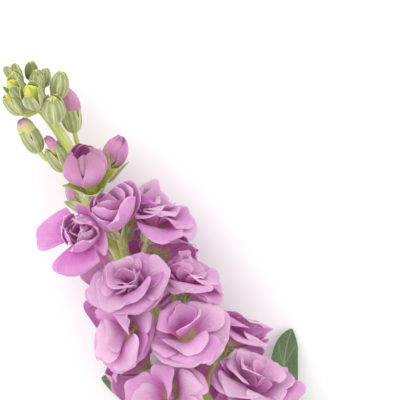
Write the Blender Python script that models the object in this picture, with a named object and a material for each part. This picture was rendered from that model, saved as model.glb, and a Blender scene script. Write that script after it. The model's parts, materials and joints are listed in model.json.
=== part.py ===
"""A cut stem of double stock, lying on its side: a green stem with its flower stalks, calyces and
closed buds, the pink buds and double blooms that sit on them, and the leaves below."""

import math
import random

import bmesh
import bpy
import numpy as np
from mathutils import Vector
from mathutils.geometry import closest_point_on_tri

# Lengths are in millimetres until a mesh is made. Distances along the stem start at its tip.
MM = 0.001
STEM_LENGTH = 365.0
STEM_LIES_FROM = 305.0  # from here to the cut end the stem lies on the surface
SPIKE_LEVEL_TO = 160.0  # up to here the flowering part is level
SPIKE_HEIGHT = 27.0  # the stem's middle above the surface, inside the blooms
TIP_RISE = 5.0
STEM_BEND = 4.0
STEM_BEND_AT = 34.0
CUT_BOW = 9.0  # sideways sweep of the cut end
CUT_SLANT = 2.6
STEM_SIDES = 10
STEM_GIRTH = ((0, 0.7), (10, 1.5), (24, 2.1), (46, 2.6), (90, 3.0), (200, 3.4), (290, 3.6), (365, 3.6))
STEM_RINGS = (0, 6, 14, 24, 38, 54, 74, 98, 126, 150, 170, 190, 210, 230, 250, 270, 288, 305, 325, 345, 365)

GAP = 0.3  # kept between two separate solids
BLADE = 0.8  # thickness of a petal along its middle
SEED = 41
PRESS = 9  # how late, and then how firmly, crowded petals give way

GOLDEN_TURN = -137.5
FIRST_ANGLE = -12.0 - 30 * GOLDEN_TURN  # flower 30 looks almost straight up
GREEN_BUDS = range(-4, 15)
YOUNG_BUDS = (15, 16, 17, 18, 20)
OPENING_BUDS = (19, 21, 23)
BURSTING = (22,)
HALF_OPEN = (24,)
BLOOMS = range(25, 43)
# What single flowers depart by from the spiral: degrees round the stem, millimetres down it,
# millimetres further out or higher up on their stalk, degrees by which they look further away,
# how far they lift their face from the surface, and how many times larger they are
LEANS = {
    15: {"turn": 30, "down": -2.2, "up": 6, "out": 2.2, "aside": -30, "larger": 1.16},
    16: {"turn": 8, "down": -7.5, "up": 10, "out": 6.5, "aside": -12, "larger": 1.7},
    17: {"turn": -24, "down": 1, "up": 5.5, "out": -2.7, "aside": -34, "larger": 1.15},
    18: {"turn": -15, "aside": -20},
    19: {"turn": 24, "down": 10},
    20: {"turn": -113},
    21: {"turn": -5, "down": 2},
    22: {"turn": 9, "down": -1.4, "larger": 1.2},
    23: {"turn": -35, "aside": -10},
    24: {"turn": -80, "down": 7.5, "out": -1.0, "aside": -12, "larger": 1.1},
    25: {"turn": 8, "down": -2.9, "lift": 1.6},
    26: {"turn": -25},
    27: {"turn": 28},
    28: {"turn": -82, "larger": 0.9},
    31: {"turn": -14, "larger": 0.92},
    33: {"turn": 22, "down": -2},
}

# The same for the green buds
GREEN_LEANS = {
    -1: {"out": -1.3, "aside": -20},
    2: {"out": -2.0, "aside": -26},
    3: {"out": 2.5, "up": 1.2},
    4: {"turn": 25, "up": -1.0, "aside": 12, "larger": 1.3},
    6: {"turn": 18, "out": 1.5, "up": -0.5, "larger": 1.1},
    7: {"turn": 20, "out": -3.0, "aside": -32},
    8: {"turn": -20, "out": 4.0, "up": 1.5, "larger": 0.9},
    9: {"turn": 10, "out": 2.2, "up": -2.5, "larger": 1.4},
    10: {"aside": -30, "root": 4.0},
    11: {"out": 5.0, "up": -2.0, "larger": 1.12},
    12: {"up": 1.0, "aside": -36, "larger": 1.1, "root": 5.0},
    14: {"turn": 12, "out": 2.2, "up": -6.5, "aside": -18, "larger": 1.2},
}

# A flower's stalk: how far its end stands off the stem and up it, and where the flower looks
STALKS = {
    "young": {"out": 4.6, "up": 8.5, "tilt": 31.0},
    "opening": {"out": 7.4, "up": 10.0, "tilt": 52.0},
    "burst": {"out": 7.6, "up": 10.5, "tilt": 46.0},
    "half": {"out": 10.0, "up": 11.5, "tilt": 56.0},
    "bloom": {"out": 10.4, "up": 12.0, "tilt": 53.0},
}
STALK_RADIUS = 1.0
# Calyx: length below the petals, belly, and the sepal tips' radius and height above the petals' foot
CALYXES = {
    "young": {"long": 7.5, "belly": 3.3, "tip_out": 3.7, "tip_up": 3.4},
    "opening": {"long": 7.0, "belly": 3.4, "tip_out": 6.6, "tip_up": 4.6},
    "burst": {"long": 7.0, "belly": 3.8, "tip_out": 9.4, "tip_up": 3.4},
    "half": {"long": 6.5, "belly": 3.2, "tip_out": 5.0, "tip_up": 1.0},
    "bloom": {"long": 6.5, "belly": 3.0, "tip_out": 3.9, "tip_up": 0.1},
}
FOOT = 2.4  # radius of the flat foot on which a bloom or a pink bud sits
HEART = 4.0  # a flower is pressed towards the point this far above its foot
SHARE = {"young": 0.32, "opening": 0.5, "burst": 0.85, "half": 0.9, "bloom": 1.0}  # of the room in between
LEAF_REACH = 30.0  # leaves further than this from a flower leave its room alone

# Petals by layer: how many, the middle line (out, up), the half widths and how far the edges cup
INNER_LAYER = {"count": 3, "line": ((1.2, 3.4), (4.2, 8.2), (6.2, 11.2), (6.8, 13.4)),
               "half": (0.9, 3.8, 4.9, 2.9), "cup": (0.0, 1.4, 2.0, 1.4)}
LAYERS = {
    "bloom": (
        {"count": 5, "line": ((1.7, 1.3), (8.4, 4.4), (15.0, 4.4), (20.0, 0.8)),
         "half": (1.0, 6.0, 8.8, 5.2), "cup": (0.0, 0.8, 0.2, -0.8)},
        {"count": 5, "line": ((1.7, 2.3), (6.2, 7.0), (11.2, 9.2), (15.2, 8.8)),
         "half": (1.0, 4.8, 6.8, 4.0), "cup": (0.0, 1.2, 1.3, 0.2)},
        INNER_LAYER,
    ),
    "half": (
        {"count": 4, "line": ((1.7, 1.3), (9.4, 3.0), (12.4, 9.0), (11.8, 16.5)),
         "half": (1.0, 6.4, 9.0, 6.2), "cup": (0.0, 1.0, 1.8, 1.4)},
        {"count": 3, "line": ((1.7, 2.3), (6.0, 5.5), (8.6, 10.6), (8.4, 15.8)),
         "half": (1.0, 4.6, 6.4, 4.2), "cup": (0.0, 1.2, 1.6, 1.0)},
        INNER_LAYER,
    ),
}
# Rolled petals of a pink bud: width, length, ring heights and widths, and the depth between its lobes
BUDS = {
    "young": {"wide": 3.1, "long": 6.4, "rings": ((0.22, 0.86), (0.5, 1.0), (0.78, 0.78), (0.94, 0.4)),
              "lobe": 0.88},
    "opening": {"wide": 5.0, "long": 13.0, "rings": ((0.22, 0.86), (0.5, 1.0), (0.78, 0.78), (0.94, 0.4)),
                "lobe": 0.88},
    "burst": {"wide": 9.2, "long": 13.0, "rings": ((0.16, 0.66), (0.42, 1.0), (0.72, 0.98), (0.93, 0.6)),
              "lobe": 0.84},
}
BLOOM_CORE = ((FOOT, 0.0), (3.0, 2.2), (3.6, 5.8), (2.8, 9.6))
BLOOM_CORE_TOP = 11.2

LEAF_SEATS = (199.0, 212.0, 227.0, 241.0, 256.0, 271.0, 287.0)
LEAF_SIDES = (-1, 1, -1, 1, -1, 1, -1)
LEAF_LENGTHS = (80.0, 78.0, 84.0, 70.0, 88.0, 62.0, 52.0)
LEAF_SPREADS = (0.38, 0.56, 0.60, 0.46, 0.66, 0.55, 0.50)  # how far the tip ends up sideways, by length
LEAF_ROWS = (0.0, 0.14, 0.34, 0.55, 0.75, 0.91, 1.0)
LEAF_THICK = 0.9

COLOURS = {
    "stem": (0.30, 0.40, 0.09),
    "bloom": (0.62, 0.24, 0.56),
    "pink_bud": (0.56, 0.20, 0.46),
    "leaf": (0.10, 0.21, 0.07),
}


def smooth(t):
    t = min(max(t, 0.0), 1.0)
    return t * t * (3.0 - 2.0 * t)


def stem_radius(s):
    return float(np.interp(s, [g[0] for g in STEM_GIRTH], [g[1] for g in STEM_GIRTH]))


def stem_point(s):
    """The stem's middle line: level through the spike, then down to the surface."""
    lying = stem_radius(s) * math.cos(math.pi / STEM_SIDES)
    lift = smooth((STEM_LIES_FROM - s) / (STEM_LIES_FROM - SPIKE_LEVEL_TO))
    tip = max(0.0, 1.0 - s / 70.0) ** 2
    sweep = max(0.0, (s - SPIKE_LEVEL_TO) / (STEM_LENGTH - SPIKE_LEVEL_TO)) ** 2
    height = lying + (SPIKE_HEIGHT - lying) * lift + TIP_RISE * tip
    return np.array([CUT_BOW * sweep - 1.5 * tip, -s, height])


def stem_bend(s):
    """How far the upper stem bows to the right of the line that its flowers are set out on."""
    reach = min(max(s / STEM_BEND_AT - 1.0, -1.0), 1.0)
    return np.array([STEM_BEND * math.cos(math.pi / 2 * reach) ** 2, 0.0, 0.0])


def stem_frame(s):
    """Unit vectors up the stem, sideways, and away from the surface."""
    along = stem_point(s - 1.0) - stem_point(s + 1.0)
    along /= np.linalg.norm(along)
    side = np.cross(along, (0.0, 0.0, 1.0))
    side /= np.linalg.norm(side)
    return along, side, np.cross(side, along)


def outward(s, angle):
    """Direction square to the stem: 0 degrees is straight up, 90 is to the right of the tip."""
    along, side, above = stem_frame(s)
    turn = math.radians(angle)
    return along, side * math.sin(turn) + above * math.cos(turn)


def flower_kind(n):
    if n in YOUNG_BUDS:
        return "young"
    if n in OPENING_BUDS:
        return "opening"
    if n in BURSTING:
        return "burst"
    return "half" if n in HALF_OPEN else "bloom"


def flower_plan():
    """Each pink flower's number, kind, seat on the stem, foot, facing and size."""
    plan = []
    for n in (*range(15, 25), *BLOOMS):
        draw = random.Random(SEED * 1000 + n)
        kind = flower_kind(n)
        stalk, calyx = STALKS[kind], CALYXES[kind]
        lean = LEANS.get(n, {})
        angle = FIRST_ANGLE + n * GOLDEN_TURN + lean.get("turn", 0.0) + draw.uniform(-5, 5)
        middle = (25.0 + 4.3 * (n - 15) if n < 24 else 66.0 + 5.75 * (n - 24)) + lean.get("down", 0.0)
        age = max(0.0, (n - 24) / 18.0)
        size = {"young": 0.95 + 0.03 * (n - 15), "opening": 1.0, "burst": 1.0, "half": 0.9,
                "bloom": 0.94 + 0.1 * age}
        size = size[kind] * draw.uniform(0.96, 1.04) * lean.get("larger", 1.0)
        out = stalk["out"] + (draw.uniform(-1.2, 2.6) if kind == "bloom" else draw.uniform(-0.5, 0.5))
        out += lean.get("out", 0.0)
        up = stalk["up"] + lean.get("up", 0.0)
        tilt = math.radians(stalk["tilt"] + 10.0 * age + draw.uniform(-5, 5) + lean.get("aside", 0.0))
        reach = calyx["long"] + HEART * size
        seat = middle + up + reach * math.cos(tilt)
        along, away = outward(seat, angle)
        low = max(0.0, -away[2])  # flowers underneath are pushed closer to the stem
        out *= 1.0 - 0.28 * low
        facing = along * math.cos(tilt) + away * math.sin(tilt) + (0.0, 0.0, lean.get("lift", 0.0))
        facing /= np.linalg.norm(facing)
        side = np.cross(along, facing)
        root = stem_point(seat) + stem_bend(seat)
        stalk_end = stem_point(seat) + along * up + away * (out + 0.3 * stem_radius(seat))
        foot = stalk_end + facing * calyx["long"]
        plan.append({
            "n": n, "kind": kind, "seat": seat, "root": root, "along": along, "away": away,
            "stalk_end": stalk_end, "facing": facing, "side": side / np.linalg.norm(side), "foot": foot,
            "heart": foot + facing * HEART * size, "size": size, "turn": draw.uniform(0, 360),
            "tip_out": calyx["tip_out"] + 2.0 * (lean.get("larger", 1.0) - 1.0),
        })
    return plan


def bezier(a, b, c, d, t):
    return a * (1 - t) ** 3 + 3 * b * t * (1 - t) ** 2 + 3 * c * t * t * (1 - t) + d * t ** 3


def stalk_line(root, start, end, facing, steps):
    """Middle line of a flower stalk, leaving the stem and turning to face with its flower."""
    third = np.linalg.norm(end - root) / 3
    leave, arrive = root + start * third, end - facing * third
    return [bezier(root, leave, arrive, end, i / steps) for i in range(steps + 1)]


def ring(centre, u, v, radii, sides, turn=0.0, lifts=None, w=None):
    """Points round a centre. Radii, and lifts along w, repeat round the ring."""
    points = []
    for i in range(sides):
        a = turn + 2 * math.pi * i / sides
        r = radii[i % len(radii)]
        p = centre + u * r * math.cos(a) + v * r * math.sin(a)
        if lifts is not None:
            p = p + w * lifts[i % len(lifts)]
        points.append(p)
    return points


def loft(rings, first, last):
    """Closed solid through rings of equal count, each end closed by a fan to a point."""
    sides = len(rings[0])
    points = [first, *(p for r in rings for p in r), last]
    faces = []
    for i in range(sides):
        j = (i + 1) % sides
        faces.append((0, 1 + j, 1 + i))
        for k in range(len(rings) - 1):
            a, b = 1 + k * sides + i, 1 + k * sides + j
            c, d = b + sides, a + sides
            faces += [(a, b, c), (a, c, d)]
        end = 1 + (len(rings) - 1) * sides
        faces.append((end + i, end + j, len(points) - 1))
    return np.array(points), faces


def blade(grid, thick):
    """Lens-shaped closed blade on a grid of middle points. Both faces are split alike."""
    rows, columns = grid.shape[:2]
    points = [p for row in grid for p in row]
    top, under = {}, {}
    for r in range(rows):
        for c in range(columns):
            top[r, c] = under[r, c] = r * columns + c
            if 0 < r < rows - 1 and 0 < c < columns - 1:
                normal = np.cross(grid[r + 1, c] - grid[r - 1, c], grid[r, c + 1] - grid[r, c - 1])
                normal *= thick / 2 / np.linalg.norm(normal)
                points[r * columns + c] = grid[r, c] + normal
                points.append(grid[r, c] - normal)
                under[r, c] = len(points) - 1
    faces = []
    for r in range(rows - 1):
        for c in range(columns - 1):
            corners = [(r, c), (r + 1, c), (r + 1, c + 1), (r, c + 1)]
            if (c < columns / 2 - 0.5) == (r < rows - 2):
                corners = corners[1:] + corners[:1]
            for trio in ((0, 1, 2), (0, 2, 3)):
                faces.append(tuple(top[corners[k]] for k in trio))
                faces.append(tuple(under[corners[k]] for k in reversed(trio)))
    return np.array(points), faces


def petal_grid(layer, angle, size, draw):
    """Middle points of one petal, in its flower's own axes: x and y across, z where it looks."""
    long = size * draw.uniform(0.93, 1.07)
    lift = draw.uniform(-0.07, 0.07)
    skew = draw.uniform(-0.12, 0.12)
    spin = np.array([math.cos(angle), math.sin(angle)])
    across = np.array([-math.sin(angle), math.cos(angle)])
    rows = []
    line = layer["line"]
    for k, ((out, up), half, cup) in enumerate(zip(line, layer["half"], layer["cup"])):
        after, before = line[min(k + 1, 3)], line[max(k - 1, 0)]
        slope = math.atan2(after[1] - before[1], after[0] - before[0])
        row = []
        for c in (-1, 0, 1):
            rounding = -0.09 * out if k == 3 and c != 0 else 0.0
            o = (out + rounding - cup * abs(c) * math.sin(slope)) * long
            w = (up + cup * abs(c) * math.cos(slope) + lift * out) * size
            xy = spin * o + across * (half * c * size + skew * o * (k > 0))
            row.append((xy[0], xy[1], w))
        rows.append(row)
    return np.array(rows)


def squeeze(points, heart, normals, reach):
    """Press points towards the heart so that none passes a plane, however far out it starts."""
    offset = points - heart
    shares = np.clip(offset @ normals.T / reach, 0.0, None)
    return heart + offset / (1.0 + (shares ** PRESS).sum(axis=-1, keepdims=True)) ** (1.0 / PRESS)


def nearest_on_segment(p, a, b):
    t = np.dot(p - a, b - a) / np.dot(b - a, b - a)
    return a + (b - a) * min(max(t, 0.0), 1.0)


def room(flower, plan, rods, leaves):
    """Planes round one flower: half way to its neighbours, clear of stem, stalks and leaves."""
    heart = flower["heart"]
    margin = GAP / 2 + BLADE / 2
    normals, reach = [], []

    def wall(point, short):
        away = point - heart
        distance = np.linalg.norm(away)
        normals.append(away / distance)
        reach.append(max(distance - short, 1.0))

    for other in plan:
        if other is not flower:
            share = flower["size"] * SHARE[flower["kind"]]
            share /= share + other["size"] * SHARE[other["kind"]]
            wall(heart + (other["heart"] - heart) * share, margin)
    for owner, a, b, radius in rods:
        if owner != flower["n"]:
            wall(nearest_on_segment(heart, a, b), radius + GAP + BLADE / 2)
    for points, faces in leaves:
        for face in faces:
            near = closest_point_on_tri(Vector(heart), *(Vector(points[i]) for i in face))
            if (near - Vector(heart)).length < LEAF_REACH:
                wall(np.array(near), GAP + BLADE / 2)
    wall(np.array([heart[0], heart[1], 0.0]), BLADE / 2)
    return np.array(normals), np.array(reach)


def green_bud(n):
    """A closed bud with its short stalk: four sepals show as ribs."""
    draw = random.Random(SEED * 1000 + n)
    young = (n - GREEN_BUDS[0]) / (len(GREEN_BUDS) - 1)
    lean = GREEN_LEANS.get(n, {})
    angle = FIRST_ANGLE + n * GOLDEN_TURN + lean.get("turn", 0.0) + draw.uniform(-8, 8)
    seat = 6.0 + 22.8 * young ** 1.1
    along, away = outward(seat, angle)
    tilt = math.radians(8.0 + 44.0 * young + draw.uniform(-6, 6) + lean.get("aside", 0.0))
    facing = along * math.cos(tilt) + away * math.sin(tilt)
    start = seat - lean.get("root", 0.0)
    root = stem_point(start) + stem_bend(start)
    end = stem_point(seat) + along * (2.5 + 5.0 * young + lean.get("up", 0.0))
    end = end + away * (1.2 + 5.6 * young + lean.get("out", 0.0))
    larger = lean.get("larger", 1.0)
    long, wide = (6.0 + 4.6 * young) * larger, (1.8 + 1.7 * young) * larger
    side = np.cross(along, away)
    cross = np.cross(facing, side)
    line = stalk_line(root, along * 0.7 + away * 0.7, end, facing, 2)
    rings = [ring(p, side, cross, (0.75 + 0.2 * young,), 8) for p in line[:2]]
    for height, width in ((0.0, 0.42), (0.28, 0.95), (0.62, 0.9), (0.88, 0.5)):
        radii = (wide * width, wide * width * 0.86)
        rings.append(ring(end + facing * long * height, side, cross, radii, 8))
    return loft(rings, line[0] - facing * 0.2, end + facing * long)


def stalk_and_calyx(flower):
    """A flower's stalk, its calyx and the floor on which the petals sit, as one solid."""
    calyx = CALYXES[flower["kind"]]
    facing, side = flower["facing"], flower["side"]
    cross = np.cross(facing, side)
    start = flower["along"] * 0.75 + flower["away"] * 0.66
    line = stalk_line(flower["root"], start, flower["stalk_end"], facing, 2)
    rings = [ring(p, side, cross, (STALK_RADIUS,), 8) for p in line]
    for share, width in ((0.18, 0.8), (0.6, 1.0)):
        centre = flower["stalk_end"] + facing * calyx["long"] * share
        rings.append(ring(centre, side, cross, (calyx["belly"] * width, calyx["belly"] * width * 0.9), 8))
    foot = flower["foot"] - facing * GAP
    tips, lifts = (flower["tip_out"], FOOT + 0.75), (calyx["tip_up"], 0.0)
    rings.append(ring(foot, side, cross, tips, 8, 0.0, lifts, facing))
    rings.append(ring(foot, side, cross, (FOOT + 0.4, FOOT + 0.3), 8))
    return loft(rings, line[0] - facing * 0.2, foot)


def rods_of(plan):
    """Straight rods that stand in for the stem, stalks, calyces and closed buds when room is made."""
    rods = []
    for a, b in zip(STEM_RINGS, STEM_RINGS[1:]):
        rods.append((-1, stem_point(a) + stem_bend(a), stem_point(b) + stem_bend(b), stem_radius(b) + 0.1))
    for flower in plan:
        start = flower["along"] * 0.75 + flower["away"] * 0.66
        line = stalk_line(flower["root"], start, flower["stalk_end"], flower["facing"], 2)
        for a, b in zip(line[:-1], line[1:]):
            rods.append((flower["n"], a, b, STALK_RADIUS))
        calyx = CALYXES[flower["kind"]]
        reach = max(0.0, calyx["tip_up"] - 1.0)
        thick = max(calyx["belly"], flower["tip_out"] - 0.6)
        foot = flower["foot"]
        rods.append((flower["n"], flower["stalk_end"], foot - flower["facing"] * 3.0, calyx["belly"]))
        rods.append((flower["n"], foot - flower["facing"] * 3.0, foot + flower["facing"] * reach, thick))
    return rods


def to_world(local, flower):
    """From a flower's own axes, turned about where it looks, to the stem's."""
    turn = math.radians(flower["turn"])
    side, facing = flower["side"], flower["facing"]
    cross = np.cross(facing, side)
    u = side * math.cos(turn) + cross * math.sin(turn)
    v = cross * math.cos(turn) - side * math.sin(turn)
    return flower["foot"] + local[..., :1] * u + local[..., 1:2] * v + local[..., 2:] * facing


def bloom_solids(flower, walls):
    """A double or half-open bloom: a core and three layers of petals sunk into it."""
    draw = random.Random(SEED * 2000 + flower["n"])
    size = flower["size"]
    x, y, z = np.eye(3)
    rings = [ring(z * up * size, x, y, (out * size, out * size * 0.9), 6, 0.4 * k)
             for k, (out, up) in enumerate(BLOOM_CORE)]
    rings[0] = ring(z * 0.0, x, y, (FOOT,), 6)
    core, faces = loft(rings, z * 0.0, z * BLOOM_CORE_TOP * size)
    solids = [(squeeze(to_world(core, flower), flower["heart"], *walls), faces)]
    for number, layer in enumerate(LAYERS[flower["kind"]]):
        for i in range(layer["count"]):
            angle = 2 * math.pi * (i + 0.5 * number) / layer["count"] + draw.uniform(-0.1, 0.1)
            grid = to_world(petal_grid(layer, angle, size, draw), flower)
            grid = squeeze(grid.reshape(-1, 3), flower["heart"], *walls).reshape(grid.shape)
            solids.append(blade(grid, BLADE))
    return solids


def bud_solids(flower, walls):
    """A pink bud: rolled petals as a twisted egg with shallow lobes."""
    size, shape = flower["size"], BUDS[flower["kind"]]
    x, y, z = np.eye(3)
    rings = [ring(z * 0.0, x, y, (FOOT,), 8)]
    for k, (height, width) in enumerate(shape["rings"]):
        radii = (shape["wide"] * size * width, shape["wide"] * size * width * shape["lobe"])
        rings.append(ring(z * shape["long"] * size * height, x, y, radii, 8, 0.3 * (k + 1)))
    egg, faces = loft(rings, z * 0.0, z * shape["long"] * size)
    return [(squeeze(to_world(egg, flower), flower["heart"], *walls), faces)]


def leaf_solid(number):
    """A long blunt leaf, narrow at its seat, arching out from the stem and down to the surface."""
    draw = random.Random(SEED * 3000 + number)
    seat, hand = LEAF_SEATS[number], LEAF_SIDES[number]
    long = LEAF_LENGTHS[number]
    wide = 5.0 + 0.10 * long
    rise = draw.uniform(20, 60)
    along, away = outward(seat, hand * (90.0 - rise))
    flat = np.array([hand * 1.0, 0.0, 0.0])
    start = stem_point(seat) + away * (stem_radius(seat) + GAP + 0.25)
    out = long * LEAF_SPREADS[number]
    end = start + along * math.sqrt(long ** 2 - out ** 2) * 0.96 + flat * out
    end[2] = draw.uniform(2.0, 6.0)
    first = start + (along * 0.66 + away * 0.75) * long * 0.3
    second = end - (along * 0.5 + flat * 0.7) * long * 0.3
    second[2] += 6.0
    rows = []
    for t in LEAF_ROWS:
        centre = bezier(start, first, second, end, t)
        ahead = bezier(start, first, second, end, t + 0.02) - bezier(start, first, second, end, t - 0.02)
        ahead /= np.linalg.norm(ahead)
        across = np.cross(ahead, (0.0, 0.0, 1.0))
        across /= np.linalg.norm(across)
        blunt = math.sqrt(1.0 - (max(0.0, t - 0.6) / 0.42) ** 2)
        half = wide / 2 * (0.16 + 0.84 * smooth(t / 0.55)) * blunt
        ripple = 0.5 * math.sin(9.0 * t + number)
        fold = 0.16 * half
        rows.append([
            centre - across * half + np.array([0.0, 0.0, fold + ripple]), centre,
            centre + across * half + np.array([0.0, 0.0, fold - ripple]),
        ])
    grid = np.array(rows)
    grid[..., 2] = np.maximum(grid[..., 2], LEAF_THICK / 2 + 0.05)
    return blade(grid, LEAF_THICK)


def stem_solid():
    rings = []
    for s in STEM_RINGS:
        along, side, above = stem_frame(s)
        centre, radius = stem_point(s) + stem_bend(s), stem_radius(s)
        points = ring(centre, side, above, (radius,), STEM_SIDES)
        if s == STEM_LENGTH:
            points = [p + along * np.dot(p - centre, side) / radius * CUT_SLANT for p in points]
        rings.append(points)
    return loft([list(reversed(r)) for r in rings], stem_point(-1.0), stem_point(STEM_LENGTH))


def outward_mesh(points, faces):
    """A mesh in metres with its faces pointing out."""
    mesh = bpy.data.meshes.new("solid")
    mesh.from_pydata((np.array(points) * MM).tolist(), [], faces)
    work = bmesh.new()
    work.from_mesh(mesh)
    if work.calc_volume(signed=True) < 0:
        bmesh.ops.reverse_faces(work, faces=work.faces)
    work.to_mesh(mesh)
    work.free()
    return mesh


def keep_main_body(mesh):
    """Drop loose scraps, and fill hollows by dropping their inner skins."""
    work = bmesh.new()
    work.from_mesh(mesh)
    groups, seen = [], set()
    for start in work.verts:
        if start in seen:
            continue
        group, stack = [], [start]
        seen.add(start)
        while stack:
            vert = stack.pop()
            group.append(vert)
            for edge in vert.link_edges:
                other = edge.other_vert(vert)
                if other not in seen:
                    seen.add(other)
                    stack.append(other)
        groups.append(group)
    groups.sort(key=len)
    for group in groups[:-1]:
        bmesh.ops.delete(work, geom=group, context="VERTS")
    bmesh.ops.triangulate(work, faces=work.faces)
    work.to_mesh(mesh)
    work.free()


def fuse(name, solids):
    """One body from overlapping solids."""
    objects = [bpy.data.objects.new(f"{name}_{i}", outward_mesh(*solid)) for i, solid in enumerate(solids)]
    base, rest = objects[0], objects[1:]
    group = bpy.data.collections.new(f"{name}_pieces")
    bpy.context.scene.collection.children.link(group)
    bpy.context.scene.collection.objects.link(base)
    for piece in rest:
        group.objects.link(piece)
    if rest:
        union = base.modifiers.new("union", "BOOLEAN")
        union.operation = "UNION"
        union.solver = "MANIFOLD"
        union.operand_type = "COLLECTION"
        union.collection = group
    bpy.context.view_layer.update()
    evaluated = base.evaluated_get(bpy.context.evaluated_depsgraph_get())
    mesh = bpy.data.meshes.new_from_object(evaluated)
    for piece in objects:
        bpy.data.objects.remove(piece)
    bpy.data.collections.remove(group)
    keep_main_body(mesh)
    return mesh


def add_piece(name, mesh, origin, material, parent):
    """A named object whose own origin is the given point."""
    mesh.name = name
    for vert in mesh.vertices:
        vert.co -= Vector(origin * MM)
    mesh.materials.clear()
    mesh.materials.append(material)
    mesh.shade_smooth()
    mesh.set_sharp_from_angle(angle=math.radians(40))
    piece = bpy.data.objects.new(name, mesh)
    bpy.context.scene.collection.objects.link(piece)
    piece.location = Vector(origin * MM)
    piece.parent = parent
    return piece


def make_material(name, colour, roughness):
    material = bpy.data.materials.new(name)
    material.use_nodes = True
    shader = material.node_tree.nodes["Principled BSDF"]
    shader.inputs["Base Color"].default_value = (*colour, 1.0)
    shader.inputs["Roughness"].default_value = roughness
    shader.inputs["Metallic"].default_value = 0.0
    return material


def main():
    for old in list(bpy.data.objects):
        bpy.data.objects.remove(old)
    materials = {name: make_material(name, colour, 0.6) for name, colour in COLOURS.items()}
    whole = bpy.data.objects.new("flower_stem", None)
    bpy.context.scene.collection.objects.link(whole)

    plan = flower_plan()
    rods = rods_of(plan)
    leaves = [leaf_solid(i) for i in range(len(LEAF_SEATS))]
    parts = [stem_solid(), *(green_bud(n) for n in GREEN_BUDS), *(stalk_and_calyx(f) for f in plan)]
    pieces = [add_piece("stem", fuse("stem", parts), stem_point(STEM_LENGTH), materials["stem"], whole)]
    blooms = buds = 0
    for flower in plan:
        walls = room(flower, plan, rods, leaves)
        if flower["kind"] in ("half", "bloom"):
            blooms += 1
            name, kind, mesh = f"bloom_{blooms:02}", "bloom", fuse("bloom", bloom_solids(flower, walls))
        else:
            buds += 1
            name, kind, mesh = f"pink_bud_{buds:02}", "pink_bud", fuse("bud", bud_solids(flower, walls))
        pieces.append(add_piece(name, mesh, flower["foot"], materials[kind], whole))
    for i, solid in enumerate(leaves):
        mesh = outward_mesh(*solid)
        pieces.append(add_piece(f"leaf_{i + 1:02}", mesh, solid[0][1], materials["leaf"], whole))

    # The whole is moved so that its base's middle is the origin
    bpy.context.view_layer.update()
    corners = np.array([p.matrix_world @ v.co for p in pieces for v in p.data.vertices])
    low, high = corners.min(axis=0), corners.max(axis=0)
    whole.location = (-(low[0] + high[0]) / 2, -(low[1] + high[1]) / 2, -low[2])
    print("triangles:", {piece.name: len(piece.data.polygons) for piece in pieces})
    print("moved by", [round(v / MM, 4) for v in whole.location])


main()
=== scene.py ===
import json
import math
import random

import bpy
import numpy as np
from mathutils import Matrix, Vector
from mathutils.geometry import closest_point_on_tri


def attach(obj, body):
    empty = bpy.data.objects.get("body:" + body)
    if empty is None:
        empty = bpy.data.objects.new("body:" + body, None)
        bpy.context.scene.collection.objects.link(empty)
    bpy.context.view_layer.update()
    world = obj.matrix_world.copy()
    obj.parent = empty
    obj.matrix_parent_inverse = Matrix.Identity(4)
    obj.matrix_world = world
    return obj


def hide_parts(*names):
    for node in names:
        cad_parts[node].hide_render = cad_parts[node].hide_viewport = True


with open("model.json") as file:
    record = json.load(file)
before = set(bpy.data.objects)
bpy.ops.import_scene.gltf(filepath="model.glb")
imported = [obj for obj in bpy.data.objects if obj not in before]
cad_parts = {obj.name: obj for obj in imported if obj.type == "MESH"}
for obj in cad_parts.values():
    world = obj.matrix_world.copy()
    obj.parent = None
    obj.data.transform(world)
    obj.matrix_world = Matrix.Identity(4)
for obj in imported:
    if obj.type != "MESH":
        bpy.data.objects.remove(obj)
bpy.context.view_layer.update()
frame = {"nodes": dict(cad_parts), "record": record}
print("frame loaded with", len(frame["nodes"]), "nodes")

# Lengths are in millimetres until a mesh is made. s is the distance down the stem from its tip.
mm = 0.001

stemRule = {
    "length": 365.0,
    "liesFrom": 305.0,  # from here to the cut end the stem lies on the surface
    "levelTo": 160.0,  # the flowering part is level up to here
    "height": 27.0,
    "tipLong": 70.0,  # over this length the stem rises and sways towards its tip
    "tipRise": 5.0,
    "tipSway": 1.5,
    "bend": 4.0,  # the upper stem bows this far to the right of the line its flowers are set out on
    "bendAt": 34.0,
    "cutBow": 9.0,
    "cutSlant": 2.6,
    "girth": ((0, 0.7), (10, 1.5), (24, 2.1), (46, 2.6), (90, 3.0), (200, 3.4), (290, 3.6), (365, 3.6)),
    "flat": math.cos(math.pi / 10),  # how far in the flats of the ten-sided CAD stem lie
}


def smoothStep(t):
    t = min(max(t, 0.0), 1.0)
    return t * t * (3.0 - 2.0 * t)


def stemRadius(s):
    return float(np.interp(s, *zip(*stemRule["girth"])))


def stemPoint(s):  # the stem's middle line: level through the spike, then down to the surface
    lying = stemRadius(s) * stemRule["flat"]
    lift = smoothStep((stemRule["liesFrom"] - s) / (stemRule["liesFrom"] - stemRule["levelTo"]))
    tip = max(0.0, 1.0 - s / stemRule["tipLong"]) ** 2
    sweep = max(0.0, (s - stemRule["levelTo"]) / (stemRule["length"] - stemRule["levelTo"])) ** 2
    height = lying + (stemRule["height"] - lying) * lift + stemRule["tipRise"] * tip
    return np.array([stemRule["cutBow"] * sweep - stemRule["tipSway"] * tip, -s, height])


def bentPoint(s):  # the same line with the bow of the upper stem
    reach = min(max(s / stemRule["bendAt"] - 1.0, -1.0), 1.0)
    return stemPoint(s) + (stemRule["bend"] * math.cos(math.pi / 2 * reach) ** 2, 0.0, 0.0)


def unit(vector):
    return vector / np.linalg.norm(vector)


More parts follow.
